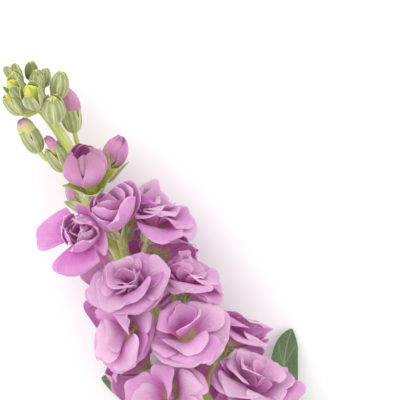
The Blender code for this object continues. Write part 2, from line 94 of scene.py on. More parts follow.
def stemFrame(s):  # up the stem, sideways, and away from the surface
    along = unit(stemPoint(s - 1.0) - stemPoint(s + 1.0))
    side = unit(np.cross(along, (0.0, 0.0, 1.0)))
    return along, side, np.cross(side, along)


def outward(s, angle):  # square to the stem: 0 degrees is straight up, 90 is right of the tip
    along, side, above = stemFrame(s)
    turn = math.radians(angle)
    return along, side * math.sin(turn) + above * math.cos(turn)


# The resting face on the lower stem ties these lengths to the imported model
restAt = 335.0
restFace = next(m for m in frame["record"]["mounts"] if m["name"] == "rest")
shift = np.array(restFace["pos_m"]) / mm - stemPoint(restAt) * (1, 1, 0)

spikeRule = {
    "seed": 41,
    "goldenTurn": -137.5,
    "firstAngle": -12.0 + 30 * 137.5,  # flower 30 looks almost straight up
    "greenBuds": range(-4, 15),
    "flowers": range(15, 43),
    # the first flower of each part, its place down the stem, the step from one to the next, and
    # the number of flowers from the youngest bloom to the oldest
    "upper": {"first": 15, "at": 25.0, "step": 4.3},
    "lower": {"first": 24, "at": 66.0, "step": 5.75, "aging": 18.0},
    "young": (15, 16, 17, 18, 20),
    "opening": (19, 21, 23),
    "burst": (22,),
    "half": (24,),
    "loose": (33, 35, 38),  # blooms with broad open petals round a green throat
    "ball": (25,),  # a bloom whose middle is still a tight ball above its open outer petals
    "parting": (16,),  # a young bud whose longest petal stands off
    "deeper": (22, 30),  # flowers a shade darker than the rest
    # for each kind: how far its stalk leads out and up and tilts, length and radius of the calyx,
    # size, and how strongly it claims room from its neighbours
    "order": ("out", "up", "tilt", "long", "belly", "size", "share"),
    "kinds": {
        "young": (4.6, 8.5, 31.0, 7.5, 3.3, 0.95, 0.32),
        "opening": (7.4, 10.0, 52.0, 7.0, 3.4, 1.0, 0.5),
        "burst": (7.6, 10.5, 46.0, 7.0, 3.8, 1.0, 0.85),
        "half": (10.0, 11.5, 56.0, 6.5, 3.2, 0.9, 0.9),
        "bloom": (10.4, 12.0, 53.0, 6.5, 3.0, 0.94, 1.0),
    },
    "gains": {"young": 0.03, "bloom": 0.1},  # how much size is gained per flower, or over a whole age
    "leaning": 10.0,  # degrees by which the oldest blooms tilt further
    # the ranges that chance draws from: degrees round the stem and of tilt, size, and the extra
    # length of a bloom's stalk and of a bud's
    "strays": {"turn": (-5, 5), "tilt": (-5, 5), "size": (0.96, 1.04), "bloom": (-1.2, 2.6),
               "bud": (-0.5, 0.5)},
    "leave": (0.75, 0.66),  # how far along the stem and how far outwards a stalk sets out
    # what single flowers depart by from the spiral: degrees round the stem, millimetres down it,
    # millimetres further out or higher up on their stalk, degrees by which they look further away,
    # how far they lift their face from the surface, how many times larger they are, and how many
    # millimetres nearer to the tip their stalk starts
    "leans": {
        15: {"turn": 30, "down": -2.2, "up": 6, "out": 2.2, "aside": -30, "larger": 1.16},
        16: {"turn": 8, "down": -7.5, "up": 10, "out": 6.5, "aside": -12, "larger": 1.7},
        17: {"turn": -24, "down": 1, "up": 5.5, "out": -2.7, "aside": -34, "larger": 1.15},
        18: {"turn": -15, "aside": -20},
        19: {"turn": 24, "down": 10},
        20: {"turn": -113},
        21: {"turn": -5, "down": 2},
        22: {"turn": 9, "down": -1.4, "larger": 1.2},
        23: {"turn": -35, "aside": -10},
        24: {"turn": -80, "down": 7.5, "out": -1.0, "aside": -12, "larger": 1.1},
        25: {"turn": 8, "down": -2.9, "lift": 1.6},
        26: {"turn": -25},
        27: {"turn": 28},
        28: {"turn": -82, "larger": 0.9},
        31: {"turn": -14, "larger": 0.92},
        33: {"turn": 22, "down": -2},
    },
    "greenLeans": {
        -1: {"out": -1.3, "aside": -20},
        2: {"out": -2.0, "aside": -26},
        3: {"out": 2.5, "up": 1.2},
        4: {"turn": 25, "up": -1.0, "aside": 12, "larger": 1.3},
        6: {"turn": 18, "out": 1.5, "up": -0.5, "larger": 1.1},
        7: {"turn": 20, "out": -3.0, "aside": -32},
        8: {"turn": -20, "out": 4.0, "up": 1.5, "larger": 0.9},
        9: {"turn": 10, "out": 2.2, "up": -2.5, "larger": 1.4},
        10: {"aside": -30, "root": 4.0},
        11: {"out": 5.0, "up": -2.0, "larger": 1.12},
        12: {"up": 1.0, "aside": -36, "larger": 1.1, "root": 5.0},
        14: {"turn": 12, "out": 2.2, "up": -6.5, "aside": -18, "larger": 1.2},
    },
    "heart": 4.0,  # a flower is pressed towards the point this far above its foot
    "pushed": 0.28,  # flowers underneath are pushed closer to the stem
    "stalkRadius": 1.0,
    "calyxMargin": 0.6,
    "margin": 0.35,
    "clear": 0.4,  # petals stay this far above the surface
    "touch": 2.2,  # petals of neighbouring flowers reach this far past the plane between them
    "leafReach": 30.0,
}


def drawFor(series, n):  # the random draws of one flower or leaf, the same in every run
    return random.Random(spikeRule["seed"] * series + n)


def firstWith(n, names, otherwise):  # the first of these lists that flower n is in
    return next((name for name in names if n in spikeRule[name]), otherwise)


def spiralAngle(n, lean, stray):  # degrees round the stem
    return spikeRule["firstAngle"] + n * spikeRule["goldenTurn"] + lean.get("turn", 0) + stray


def flowerPlan():  # every pink flower's place, facing and size
    plan = []
    for n in spikeRule["flowers"]:
        draw = drawFor(1000, n)
        kind = firstWith(n, ("young", "opening", "burst", "half"), "bloom")
        rule = dict(zip(spikeRule["order"], spikeRule["kinds"][kind]))
        lean, gain = spikeRule["leans"].get(n, {}), spikeRule["gains"]
        stray, leave = spikeRule["strays"], spikeRule["leave"]
        angle = spiralAngle(n, lean, draw.uniform(*stray["turn"]))
        upper, lower = spikeRule["upper"], spikeRule["lower"]
        part = upper if n < lower["first"] else lower
        middle = part["at"] + part["step"] * (n - part["first"]) + lean.get("down", 0)
        age = max(0.0, (n - lower["first"]) / lower["aging"])
        gained = gain["young"] * (n - upper["first"]) if kind == "young" else gain["bloom"] * age
        size = (rule["size"] + gained) * draw.uniform(*stray["size"]) * lean.get("larger", 1)
        out = rule["out"] + draw.uniform(*stray["bloom" if kind == "bloom" else "bud"]) + lean.get("out", 0)
        up = rule["up"] + lean.get("up", 0)
        tilt = rule["tilt"] + spikeRule["leaning"] * age + draw.uniform(*stray["tilt"])
        tilt = math.radians(tilt + lean.get("aside", 0))
        seat = middle + up + (rule["long"] + spikeRule["heart"] * size) * math.cos(tilt)
        along, away = outward(seat, angle)
        out *= 1.0 - spikeRule["pushed"] * max(0.0, -away[2])
        facing = unit(along * math.cos(tilt) + away * math.sin(tilt) + (0.0, 0.0, lean.get("lift", 0)))
        end = stemPoint(seat) + along * up + away * (out + 0.3 * stemRadius(seat))
        foot = end + facing * rule["long"]
        plan.append({
            "n": n, "kind": kind, "size": size, "age": age, "claim": size * rule["share"],
            "long": rule["long"], "belly": rule["belly"], "root": bentPoint(seat),
            "start": along * leave[0] + away * leave[1], "end": end, "foot": foot, "facing": facing,
            "side": unit(np.cross(along, facing)), "heart": foot + facing * spikeRule["heart"] * size,
            "turn": math.radians(draw.uniform(0, 360)),
            "tone": draw.random() if n not in spikeRule["deeper"] else 0.0,
            "look": firstWith(n, ("loose", "ball", "parting"), kind),
        })
    return plan


def bezierPoint(a, b, c, d, t):
    return a * (1 - t) ** 3 + 3 * b * t * (1 - t) ** 2 + 3 * c * t * t * (1 - t) + d * t ** 3


def stalkLine(owner, steps):  # leaves the stem, then turns to face with its flower
    root, end = owner["root"], owner["end"]
    third = np.linalg.norm(end - root) / 3
    leave, arrive = root + owner["start"] * third, end - owner["facing"] * third
    return [bezierPoint(root, leave, arrive, end, i / steps) for i in range(steps + 1)]


leafRule = {
    "seats": (199.0, 212.0, 227.0, 241.0, 256.0, 271.0, 287.0),
    "sides": (-1, 1, -1, 1, -1, 1, -1),
    "lengths": (80.0, 78.0, 84.0, 70.0, 88.0, 62.0, 52.0),
    "spreads": (0.38, 0.56, 0.60, 0.46, 0.66, 0.55, 0.50),
    "wide": (5.0, 0.10),  # least width, and what each millimetre of length adds
    "foot": (0.16, 0.55),  # share of the width at the foot, and of the length where it is full
    "blunt": (0.6, 0.42),  # shares of the length: where the tip starts to round, and over how much
    "above": (20, 60),  # degrees above level at which a leaf sits on the flank of the stem
    "ends": (2.0, 6.0),  # how high above the surface a leaf ends
    "leave": (0.66, 0.75),  # how far along the stem and how far outwards it sets out
    "arrive": (0.5, 0.7),  # and how far along the stem and sideways it points at its tip
    "bow": 0.3,  # share of the length over which either way is kept
    "arch": 6.0,  # how much higher its line runs just before the tip
    "ripple": (0.5, 9.0),  # height and pace of the waves in its edge
    "fold": 0.16,
    "gap": 0.55,
    "thick": 0.9,
}
leafNumbers = range(len(leafRule["seats"]))


def leafCurve(number):  # the leaf's middle line, from its seat on the stem down to the surface
    draw = drawFor(3000, number)
    seat, hand, long = (leafRule[key][number] for key in ("seats", "sides", "lengths"))
    along, away = outward(seat, hand * (90.0 - draw.uniform(*leafRule["above"])))
    flat = np.array([hand * 1.0, 0.0, 0.0])
    start = stemPoint(seat) + away * (stemRadius(seat) + leafRule["gap"])
    out = long * leafRule["spreads"][number]
    end = start + along * math.sqrt(long ** 2 - out ** 2) * 0.96 + flat * out
    end[2] = draw.uniform(*leafRule["ends"])
    leave, arrive, bow = leafRule["leave"], leafRule["arrive"], leafRule["bow"]
    first = start + (along * leave[0] + away * leave[1]) * long * bow
    second = end - (along * arrive[0] + flat * arrive[1]) * long * bow
    second[2] += leafRule["arch"]
    return start, first, second, end


def leafSection(number, t):  # middle, sideways direction, half width and edge ripple at t along the leaf
    curve = leafCurve(number)
    ahead = unit(bezierPoint(*curve, t + 0.02) - bezierPoint(*curve, t - 0.02))
    across = unit(np.cross(ahead, (0.0, 0.0, 1.0)))
    (roundFrom, over), (narrow, fullAt) = leafRule["blunt"], leafRule["foot"]
    blunt = math.sqrt(max(0.0, 1.0 - (max(0.0, t - roundFrom) / over) ** 2))
    wide = leafRule["wide"][0] + leafRule["wide"][1] * leafRule["lengths"][number]
    half = wide / 2 * (narrow + (1.0 - narrow) * smoothStep(t / fullAt)) * blunt
    high, pace = leafRule["ripple"]
    return bezierPoint(*curve, t), across, half, high * math.sin(pace * t + number)


def coarseLeaf(number):  # corners of the leaf's broad facets, which the flowers keep clear of
    rows = []
    for t in (0.0, 0.14, 0.34, 0.55, 0.75, 0.91, 1.0):
        centre, across, half, ripple = leafSection(number, t)
        fold = leafRule["fold"] * half
        rows.append([centre - across * half + (0, 0, fold + ripple), centre,
                     centre + across * half + (0, 0, fold - ripple)])
    return np.array(rows)


def nearestOnSegment(p, a, b):
    t = np.dot(p - a, b - a) / np.dot(b - a, b - a)
    return a + (b - a) * min(max(t, 0.0), 1.0)


def rodsOf(plan):  # straight rods that stand in for stem, stalks and calyces when room is made
    stations = (0, 6, 14, 24, 38, 54, 74, 98, 126, *range(150, 271, 20), 288, 305, 325, 345, 365)
    middles = [bentPoint(s) for s in stations]
    rods = [(-1, a, b, stemRadius(s) + 0.1) for a, b, s in zip(middles, middles[1:], stations[1:])]
    for flower in plan:
        line = stalkLine(flower, 2)
        rods += [(flower["n"], a, b, spikeRule["stalkRadius"]) for a, b in zip(line, line[1:])]
        around = flower["belly"] + spikeRule["calyxMargin"]
        rods.append((flower["n"], flower["end"], flower["foot"], around))
    return rods


def roomOf(flower, plan, rods, leafGrids):  # planes round one flower, as unit normals and distances
    heart = flower["heart"]
    normals, reach = [], []

    def wall(point, short):
        away = point - heart
        distance = np.linalg.norm(away)
        normals.append(away / distance)
        reach.append(max(distance - short, 1.0))

    for other in plan:
        if other is not flower:
            share = flower["claim"] / (flower["claim"] + other["claim"])
            wall(heart + (other["heart"] - heart) * share, -spikeRule["touch"])
    for owner, a, b, radius in rods:
        if owner != flower["n"]:
            wall(nearestOnSegment(heart, a, b), radius + spikeRule["margin"])
    for grid in leafGrids:
        for r, c in np.ndindex(len(grid) - 1, 2):
            corners = [grid[r, c], grid[r + 1, c], grid[r + 1, c + 1], grid[r, c + 1]]
            for trio in ((0, 1, 2), (0, 2, 3)):
                near = closest_point_on_tri(Vector(heart), *(Vector(corners[k]) for k in trio))
                if (near - Vector(heart)).length < spikeRule["leafReach"]:
                    wall(np.array(near), leafRule["thick"] / 2 + spikeRule["margin"])
    wall(np.array([heart[0], heart[1], 0.0]), spikeRule["clear"])
    return np.array(normals), np.array(reach)


def squeeze(points, heart, walls, press):  # pressed towards the heart so that no plane is passed
    normals, reach = walls
    offset = points - heart
    shares = np.clip(offset @ normals.T / reach, 0.0, None)
    return heart + offset / (1.0 + (shares ** press).sum(axis=-1, keepdims=True)) ** (1.0 / press)


def toWorld(local, origin, owner, turn=0.0):  # from a flower's own axes to the place it grows in
    side, facing = owner["side"], owner["facing"]
    cross = np.cross(facing, side)
    u = side * math.cos(turn) + cross * math.sin(turn)
    v = cross * math.cos(turn) - side * math.sin(turn)
    return origin + local[..., :1] * u + local[..., 1:2] * v + local[..., 2:] * facing


def mathsNode(operation):  # an operator of Wire that adds a Math node
    return lambda self, *values: self.maths(operation, *values)


class Wire:  # a socket in a node tree: sums on it add Math nodes, and node() adds any other node
    def __init__(self, tree, socket=None):
        self.tree = tree
        self.socket = socket

    def node(self, kind, sockets=None, output=0, **settings):
        made = self.tree.nodes.new(kind)
        for name, value in settings.items():
            setattr(made, name, value)
        for name, value in (sockets or {}).items():
            if isinstance(value, Wire):
                self.tree.links.new(value.socket, made.inputs[name])
            else:
                made.inputs[name].default_value = value
        return Wire(self.tree, made.outputs[output] if made.outputs else None)

    def other(self, output):
        return Wire(self.tree, self.socket.node.outputs[output])

    def maths(self, operation, *values):
        return self.node("ShaderNodeMath", dict(enumerate((self, *values))), operation=operation)

    __add__ = __radd__ = mathsNode("ADD")
    __mul__ = __rmul__ = mathsNode("MULTIPLY")
    __sub__ = mathsNode("SUBTRACT")
    __truediv__ = mathsNode("DIVIDE")
    __pow__ = mathsNode("POWER")
    __abs__ = mathsNode("ABSOLUTE")

    def __rsub__(self, value):
        return self * -1.0 + value

    def between(self, low, high):  # 0 below low, 1 above high, with a soft step
        return self.node("ShaderNodeMapRange", {"Value": self, "From Min": low, "From Max": high},
                         interpolation_type="SMOOTHSTEP", clamp=True)

    def blend(self, first, second):  # colours, mixed by this value
        return self.node("ShaderNodeMix", {0: self, 6: first, 7: second}, 2, data_type="RGBA",
                         clamp_factor=True)


def joined(x, y, z):
    return x.node("ShaderNodeCombineXYZ", {"X": x, "Y": y, "Z": z})


def parted(vector):
    return vector.node("ShaderNodeSeparateXYZ", {0: vector})


def noiseAt(place, scale, detail, roughness=0.5):
    return place.node("ShaderNodeTexNoise", {
        "Vector": place, "Scale": scale, "Detail": detail, "Roughness": roughness})


def cellsAt(place, scale, **settings):
    return place.node("ShaderNodeTexVoronoi", {"Vector": place, "Scale": scale}, **settings)


def growTree(name, inputs):  # a Geometry Nodes tree with named inputs; gives its wires by name
    tree = bpy.data.node_groups.new(name, "GeometryNodeTree")
    kinds = {int: "NodeSocketInt", float: "NodeSocketFloat", tuple: "NodeSocketVector"}
    for label, value in {**inputs, "Finish": "NodeSocketMaterial"}.items():
        kind = kinds.get(type(value), value)
        socket = tree.interface.new_socket(label, in_out="INPUT", socket_type=kind)
        if type(value) in kinds:
            socket.default_value = value
    tree.interface.new_socket("Geometry", in_out="OUTPUT", socket_type="NodeSocketGeometry")
    start = Wire(tree).node("NodeGroupInput")
    return tree, start, {label: start.other(label) for label in (*inputs, "Finish")}


def endTree(geometry, given):  # smooth and plain, in its material
    smoothed = geometry.node("GeometryNodeSetShadeSmooth", {0: geometry})
    plain = smoothed.node("GeometryNodeRealizeInstances", {"Geometry": smoothed})
    finished = plain.node("GeometryNodeSetMaterial", {"Geometry": plain, "Material": given["Finish"]})
    finished.node("NodeGroupOutput", {"Geometry": finished})


def addToScene(name, data, place=(0.0, 0.0, 0.0), turn=(0.0, 0.0, 0.0)):
    thing = bpy.data.objects.new(name, data)
    thing.location, thing.rotation_euler = place, turn
    bpy.context.scene.collection.objects.link(thing)
    return thing


def setMark(mesh, name, values):  # one value for each of its points
    mesh.attributes.new(name, "FLOAT", "POINT").data.foreach_set("value", values)


def growMesh(tree, values, base=None):  # what a tree makes with these inputs, as a plain mesh
    holder = addToScene("grown", base or bpy.data.meshes.new("grown"))
    modifier = holder.modifiers.new("grow", "NODES")
    modifier.node_group = tree
    exact = {"NodeSocketFloat": float, "NodeSocketInt": int, "NodeSocketVector": lambda v: (*v, 0.0)}
    for item in tree.interface.items_tree:
        if item.in_out == "INPUT" and item.name in values:
            modifier[item.identifier] = exact[item.socket_type](values[item.name])
    evaluated = holder.evaluated_get(bpy.context.evaluated_depsgraph_get())
    mesh = bpy.data.meshes.new_from_object(evaluated)
    bpy.data.objects.remove(holder)
    return mesh


def storeMark(geometry, name, value, kind="FLOAT"):
    return geometry.node("GeometryNodeStoreNamedAttribute", {
        "Geometry": geometry, "Name": name, "Value": value}, data_type=kind, domain="POINT")


def markNamed(wire, name, kind="FLOAT"):
    return wire.node("GeometryNodeInputNamedAttribute", {"Name": name}, data_type=kind)


# One ring of petals or sepals, in the flower's own axes: x and y across, z where it looks.
# Foot, Knee, Shoulder and Tip steer each petal's middle line, as distance out and height.
def petalRingTree():
    tree, wire, given = growTree("petalRing", {
        "Petals": 5, "Rows": 12, "Columns": 11, "First Turn": 0.0, "Turn Step": 72.0, "Turn Spread": 0.0,
        "Foot": (1.0, 0.0, 0.0), "Knee": (6.0, 5.0, 0.0), "Shoulder": (12.0, 6.0, 0.0),
        "Tip": (16.0, 2.0, 0.0), "Half Width": 7.0, "Claw": 0.2, "Widest": 0.6, "Tip Width": 0.5,
        "Tip Round": 0.18, "Notch": 0.0, "Curl Foot": 0.1, "Curl Tip": 0.0, "Crease": 0.0,
        "Crease Spread": 0.0, "Tuck": 0.5, "Ruffle": 0.5, "Waves": 3.0, "Rib": 0.0, "Ribs": 3.0,
        "Wobble": 1.0, "Roll": 0.0, "Tip Spread": 0.0, "Twist": 0.0, "Length Spread": 0.06,
        "Lean Spread": 0.08, "Seed": 1,
    })
    grid = wire.node("GeometryNodeMeshGrid", {
        "Size X": 1.0, "Size Y": 1.0, "Vertices X": given["Columns"], "Vertices Y": given["Rows"]})
    place = parted(wire.node("GeometryNodeInputPosition"))
    grid = storeMark(grid, "across", place * 2.0)
    grid = storeMark(grid, "along", place.other("Y") + 0.5)
    spots = wire.node("GeometryNodePoints", {"Count": given["Petals"]})
    spots = storeMark(spots, "petal", wire.node("GeometryNodeInputIndex"), "INT")
    copies = wire.node("GeometryNodeInstanceOnPoints", {"Points": spots, "Instance": grid})
    real = wire.node("GeometryNodeRealizeInstances", {"Geometry": copies})
    across, along = markNamed(wire, "across"), markNamed(wire, "along")
    petal = markNamed(wire, "petal", "INT")

    def draw(number):  # one random value for each petal, from -1 to 1
        return wire.node("FunctionNodeRandomValue", {
            2: -1.0, 3: 1.0, 7: petal, 8: given["Seed"] * 10 + number}, 1, data_type="FLOAT")

    edge = abs(across)
    t = along - given["Tip Round"] * edge ** 2.4 * along ** 3.0
    t = (t - given["Notch"] * (1.0 - edge) ** 4.0 * along ** 6.0).maths("MAXIMUM", 0.0)
    rest = 1.0 - t
    weights = (rest ** 3.0, rest * rest * t * 3.0, rest * t * t * 3.0, t ** 3.0)
    slopes = (rest * rest * 3.0, rest * t * 6.0, t * t * 3.0)
    corners = [parted(given[name]) for name in ("Foot", "Knee", "Shoulder", "Tip")]
    line, pace = [], []
    for axis in ("X", "Y"):
        ends = [corner.other(axis) for corner in corners]
        line.append(sum(end * weight for end, weight in zip(ends, weights)))
        pace.append(sum((b - a) * slope for a, b, slope in zip(ends, ends[1:], slopes)))
    speed = (pace[0] * pace[0] + pace[1] * pace[1] + 1e-6).maths("SQRT")
    inOut, inUp = pace[1] / speed * -1.0, pace[0] / speed

    tail = ((along - given["Widest"]) / (1.0 - given["Widest"])).maths("MAXIMUM", 0.0)
    narrowing = (1.0 - (1.0 - given["Tip Width"] ** 2.0) * tail * tail).maths("SQRT")
    width = given["Claw"] + (1.0 - given["Claw"]) * along.between(0.0, given["Widest"])
    reach = across * given["Half Width"] * width * narrowing * (1.0 + draw(1) * given["Length Spread"])
    curl = given["Curl Foot"] + (given["Curl Tip"] - given["Curl Foot"]) * t + 0.0003
    sideways = (reach * curl).maths("SINE") / curl
    noisePlace = joined(across * 1.2 + petal * 3.7, along * 1.5 + given["Seed"] * 0.37, draw(2) * 5.0)
    noise = noiseAt(noisePlace, 1.3, 1.5)
    wave = (across * given["Waves"] * math.pi + draw(3) * 3.0 + t * 2.0).maths("SINE")
    crease = given["Crease"] + given["Crease Spread"] * draw(8)
    lift = (1.0 - (reach * curl).maths("COSINE")) / curl
    lift = lift + crease * edge * width * given["Half Width"] + given["Tuck"] * across * width
    lift = lift + given["Ruffle"] * t * t * wave * (0.3 + 0.7 * edge * edge)
    lift = lift + given["Wobble"] * (noise - 0.5) * 2.0 * t
    lift = lift - given["Roll"] * (edge ** 5.0 * along + along ** 9.0)
    lift = lift - given["Rib"] * (across * given["Ribs"] * math.pi).maths("COSINE") * width * narrowing
    length = 1.0 + draw(4) * given["Length Spread"]
    lean = draw(5) * given["Lean Spread"]
    flop = given["Tip Spread"] * draw(9) * t * t
    out = line[0] * length + inOut * lift - lean * line[1] + flop
    up = line[1] * length + inUp * lift + lean * line[0] - flop * t * 0.6
    turn = given["First Turn"] + given["Turn Step"] * petal + given["Turn Spread"] * draw(6)
    turn = turn * (math.pi / 180) + given["Twist"] * t
    cosine, sine = turn.maths("COSINE"), turn.maths("SINE")
    position = joined(out * cosine - sideways * sine, out * sine + sideways * cosine, up)
    tinted = storeMark(real, "tint", draw(7) * 0.5 + 0.5)
    endTree(wire.node("GeometryNodeSetPosition", {"Geometry": tinted, "Position": position}), given)
    return tree


# Stems and stalks: each edge path of the base mesh, swept with a softly ridged round section
def sweepTree():
    tree, wire, given = growTree("stalkSweep", {
        "Paths": "NodeSocketGeometry", "Sides": 12, "Ridges": 5.0, "Ridge Depth": 0.04})
    circle = wire.node("GeometryNodeCurvePrimitiveCircle", {"Resolution": given["Sides"], "Radius": 1.0})
    turn = wire.node("GeometryNodeSplineParameter") * (2 * math.pi)
    ridge = (turn * given["Ridges"]).maths("COSINE")
    circle = storeMark(circle, "ridge", ridge * 0.5 + 0.5)
    place, depth = wire.node("GeometryNodeInputPosition"), ridge * given["Ridge Depth"]
    grow = wire.node("ShaderNodeVectorMath", {0: place, "Scale": depth}, operation="SCALE")
    circle = wire.node("GeometryNodeSetPosition", {"Geometry": circle, "Offset": grow})
    paths = wire.node("GeometryNodeMeshToCurve", {0: given["Paths"]})
    swept = wire.node("GeometryNodeCurveToMesh", {
        "Curve": paths, "Profile Curve": circle, "Scale": markNamed(wire, "girth"), "Fill Caps": True})
    endTree(swept, given)
    return tree


def newFinish(name, constants):  # a material with its fixed values set on the shader itself
    material = bpy.data.materials.new(name)
    material.use_nodes = True
    for socket, value in constants.items():
        material.node_tree.nodes["Principled BSDF"].inputs[socket].default_value = value
    return material


def readings(material, *names):  # where a point is, and its marks as values
    wire = Wire(material.node_tree)
    place = wire.node("ShaderNodeTexCoord", output="Object")
    return place, *(wire.node("ShaderNodeAttribute", output="Fac", attribute_name=name) for name in names)


def layered(first, shades, *layers):  # shades laid over the first one, each by its own share
    colour = shades[first]
    for share, shade in layers:
        colour = share.blend(colour, shades[shade])
    return colour


def coat(material, colour, roughness, height, strength, depth):  # what changes over the surface
    bump = height.node("ShaderNodeBump", {"Strength": strength, "Distance": depth, "Height": height})
    inputs = material.node_tree.nodes["Principled BSDF"].inputs
    for name, wire in (("Base Color", colour), ("Roughness", roughness), ("Normal", bump)):
        material.node_tree.links.new(wire.socket, inputs[name])
    return material


def rgb(red, green, blue):
    return (red, green, blue, 1.0)


# Petal colours. The darkest one, at the petals' foot, is partly their own darker throat and partly painted
# shade deep between the petals.
petalLook = {
    "bloom": {
        "throatAndPaintedShade": rgb(0.53, 0.065, 0.39), "blade": rgb(0.58, 0.215, 0.52), "face": rgb(0.72, 0.43, 0.62),
        # edge: a paler margin colour, partly a painted highlight where the rolled rim catches the light;
        # for blooms, tip is this same pale colour
        "edge": rgb(0.80, 0.53, 0.73), "claw": rgb(0.60, 0.62, 0.20), "vein": rgb(0.46, 0.10, 0.38),
        "tip": rgb(0.80, 0.53, 0.73), "clawTo": 0.25, "tipFrom": 0.9,
    },
    "bud": {
        "throatAndPaintedShade": rgb(0.40, 0.08, 0.26), "blade": rgb(0.62, 0.29, 0.50), "face": rgb(0.58, 0.24, 0.45),
        "edge": rgb(0.76, 0.45, 0.64), "claw": rgb(0.62, 0.60, 0.20), "vein": rgb(0.45, 0.13, 0.33),
        "tip": rgb(0.32, 0.11, 0.18), "clawTo": 0.46, "tipFrom": 0.74,
    },
    # glow: colour of a faint emission on all petals, painted light that lifts their shaded parts as if
    # light shone through them
    "veins": 26.0, "cells": 2600.0, "mottle": 180.0, "glow": rgb(1.0, 0.20, 0.68),
}


def petalFinish(name, shades):
    material = newFinish(name, {
        "Subsurface Weight": 0.4, "Subsurface Scale": 0.0012, "Subsurface Radius": (1.0, 0.5, 0.85),
        "Sheen Weight": 0.12, "Sheen Roughness": 0.45, "Sheen Tint": rgb(1.0, 0.85, 1.0),
        # the emission is painted light: a faint glow that keeps the shaded petals bright
        "Specular IOR Level": 0.2, "Emission Color": petalLook["glow"], "Emission Strength": 0.038,
    })
    place, along, across, tint, layer, inner, tone, green = readings(
        material, "along", "across", "tint", "layer", "inner", "tone", "green")
    streak = noiseAt(joined(across * 7.0, along * 1.6, tint * 23.0), 2.2, 4.0, 0.62)
    fine = noiseAt(joined(across * 30.0, along * 2.2, tint * 31.0), 1.0, 3.0, 0.6)
    mottle = noiseAt(place, petalLook["mottle"], 3.0, 0.6)
    cells = cellsAt(place, petalLook["cells"])
    branch = across * petalLook["veins"] + streak * 5.0
    vein = (1.0 - abs(branch.maths("SINE"))) ** 5.0 * along.between(0.98, 0.35) * (0.35 + streak)
    # rise: from the darkest colour at the foot, partly painted shade deep in the flower, out to the blade
    # colour
    rise = (along + (streak - 0.5) * 0.35).between(0.05, 0.72)
    facing = (inner * 0.50 + 0.50) * (layer * 0.28 + 0.56)
    # rim: margin and tip, drawn towards the pale edge colour: partly a paler margin, partly a painted
    # highlight on the rolled rim
    rim = abs(across).between(0.80, 1.0).maths("MAXIMUM", along.between(0.86, 1.0))
    # for blooms the tip colour is the pale edge colour, so their tips take the same partly painted
    # highlight; buds have their own brownish tips
    tipped = (along + (streak - 0.5) * 0.12).between(shades["tipFrom"], 1.02)
    clawed = (along + (streak - 0.5) * 0.2 - green * 0.45).between(shades["clawTo"], 0.06)
    colour = layered("throatAndPaintedShade", shades, (rise, "blade"), (facing * rise * (0.6 + tint * 0.8), "face"),
                     (vein * 0.55, "vein"), (rim * 0.28, "edge"), ((mottle - 0.42) * 0.9, "edge"),
                     (tipped * (0.55 + green * 0.3), "tip"), (clawed, "claw"))
    varied = colour.node("ShaderNodeHueSaturation", {
        "Hue": 0.494 + tint * 0.010 + tone * 0.008, "Saturation": 1.06 - tint * 0.16,
        "Value": 0.77 + tint * 0.12 + tone * 0.14 + fine * 0.18, "Color": colour})
    height = vein * 0.5 + streak * 0.9 + fine * 0.5 + cells * 0.35 + mottle * 0.5
    return coat(material, varied, 0.56 + streak * 0.16 - rim * 0.06, height, 0.6, 0.0006)


greenLook = {
    "stem": {
        "low": rgb(0.35, 0.42, 0.07), "high": rgb(0.49, 0.565, 0.18), "pale": rgb(0.80, 0.80, 0.52),
        "hard": rgb(0.23, 0.32, 0.075), "bark": rgb(0.36, 0.36, 0.17), "heart": rgb(0.30, 0.36, 0.03),
        "core": rgb(0.60, 0.57, 0.07), "pith": rgb(0.74, 0.78, 0.50),
    },
    "sepal": {
        "furrow": rgb(0.19, 0.235, 0.073), "blade": rgb(0.38, 0.41, 0.162), "rib": rgb(0.60, 0.61, 0.32),
        "margin": rgb(0.74, 0.72, 0.46), "inside": rgb(0.50, 0.58, 0.050), "blush": rgb(0.36, 0.21, 0.11),
        "dark": rgb(0.085, 0.13, 0.025), "foot": rgb(0.56, 0.60, 0.17),
    },
    "leaf": {
        "dark": rgb(0.055, 0.115, 0.04), "light": rgb(0.14, 0.215, 0.085), "vein": rgb(0.30, 0.36, 0.19),
        "under": rgb(0.22, 0.29, 0.17),
    },
    "down": 900.0,  # cells to the metre in the relief of fine hairs
}


def greenFinish(name, glow, weight, constants):  # light passes a little way into all that is green
    return newFinish(name, {"Subsurface Weight": weight, "Subsurface Scale": 0.001,
                            "Subsurface Radius": glow, "Specular IOR Level": 0.35, **constants})


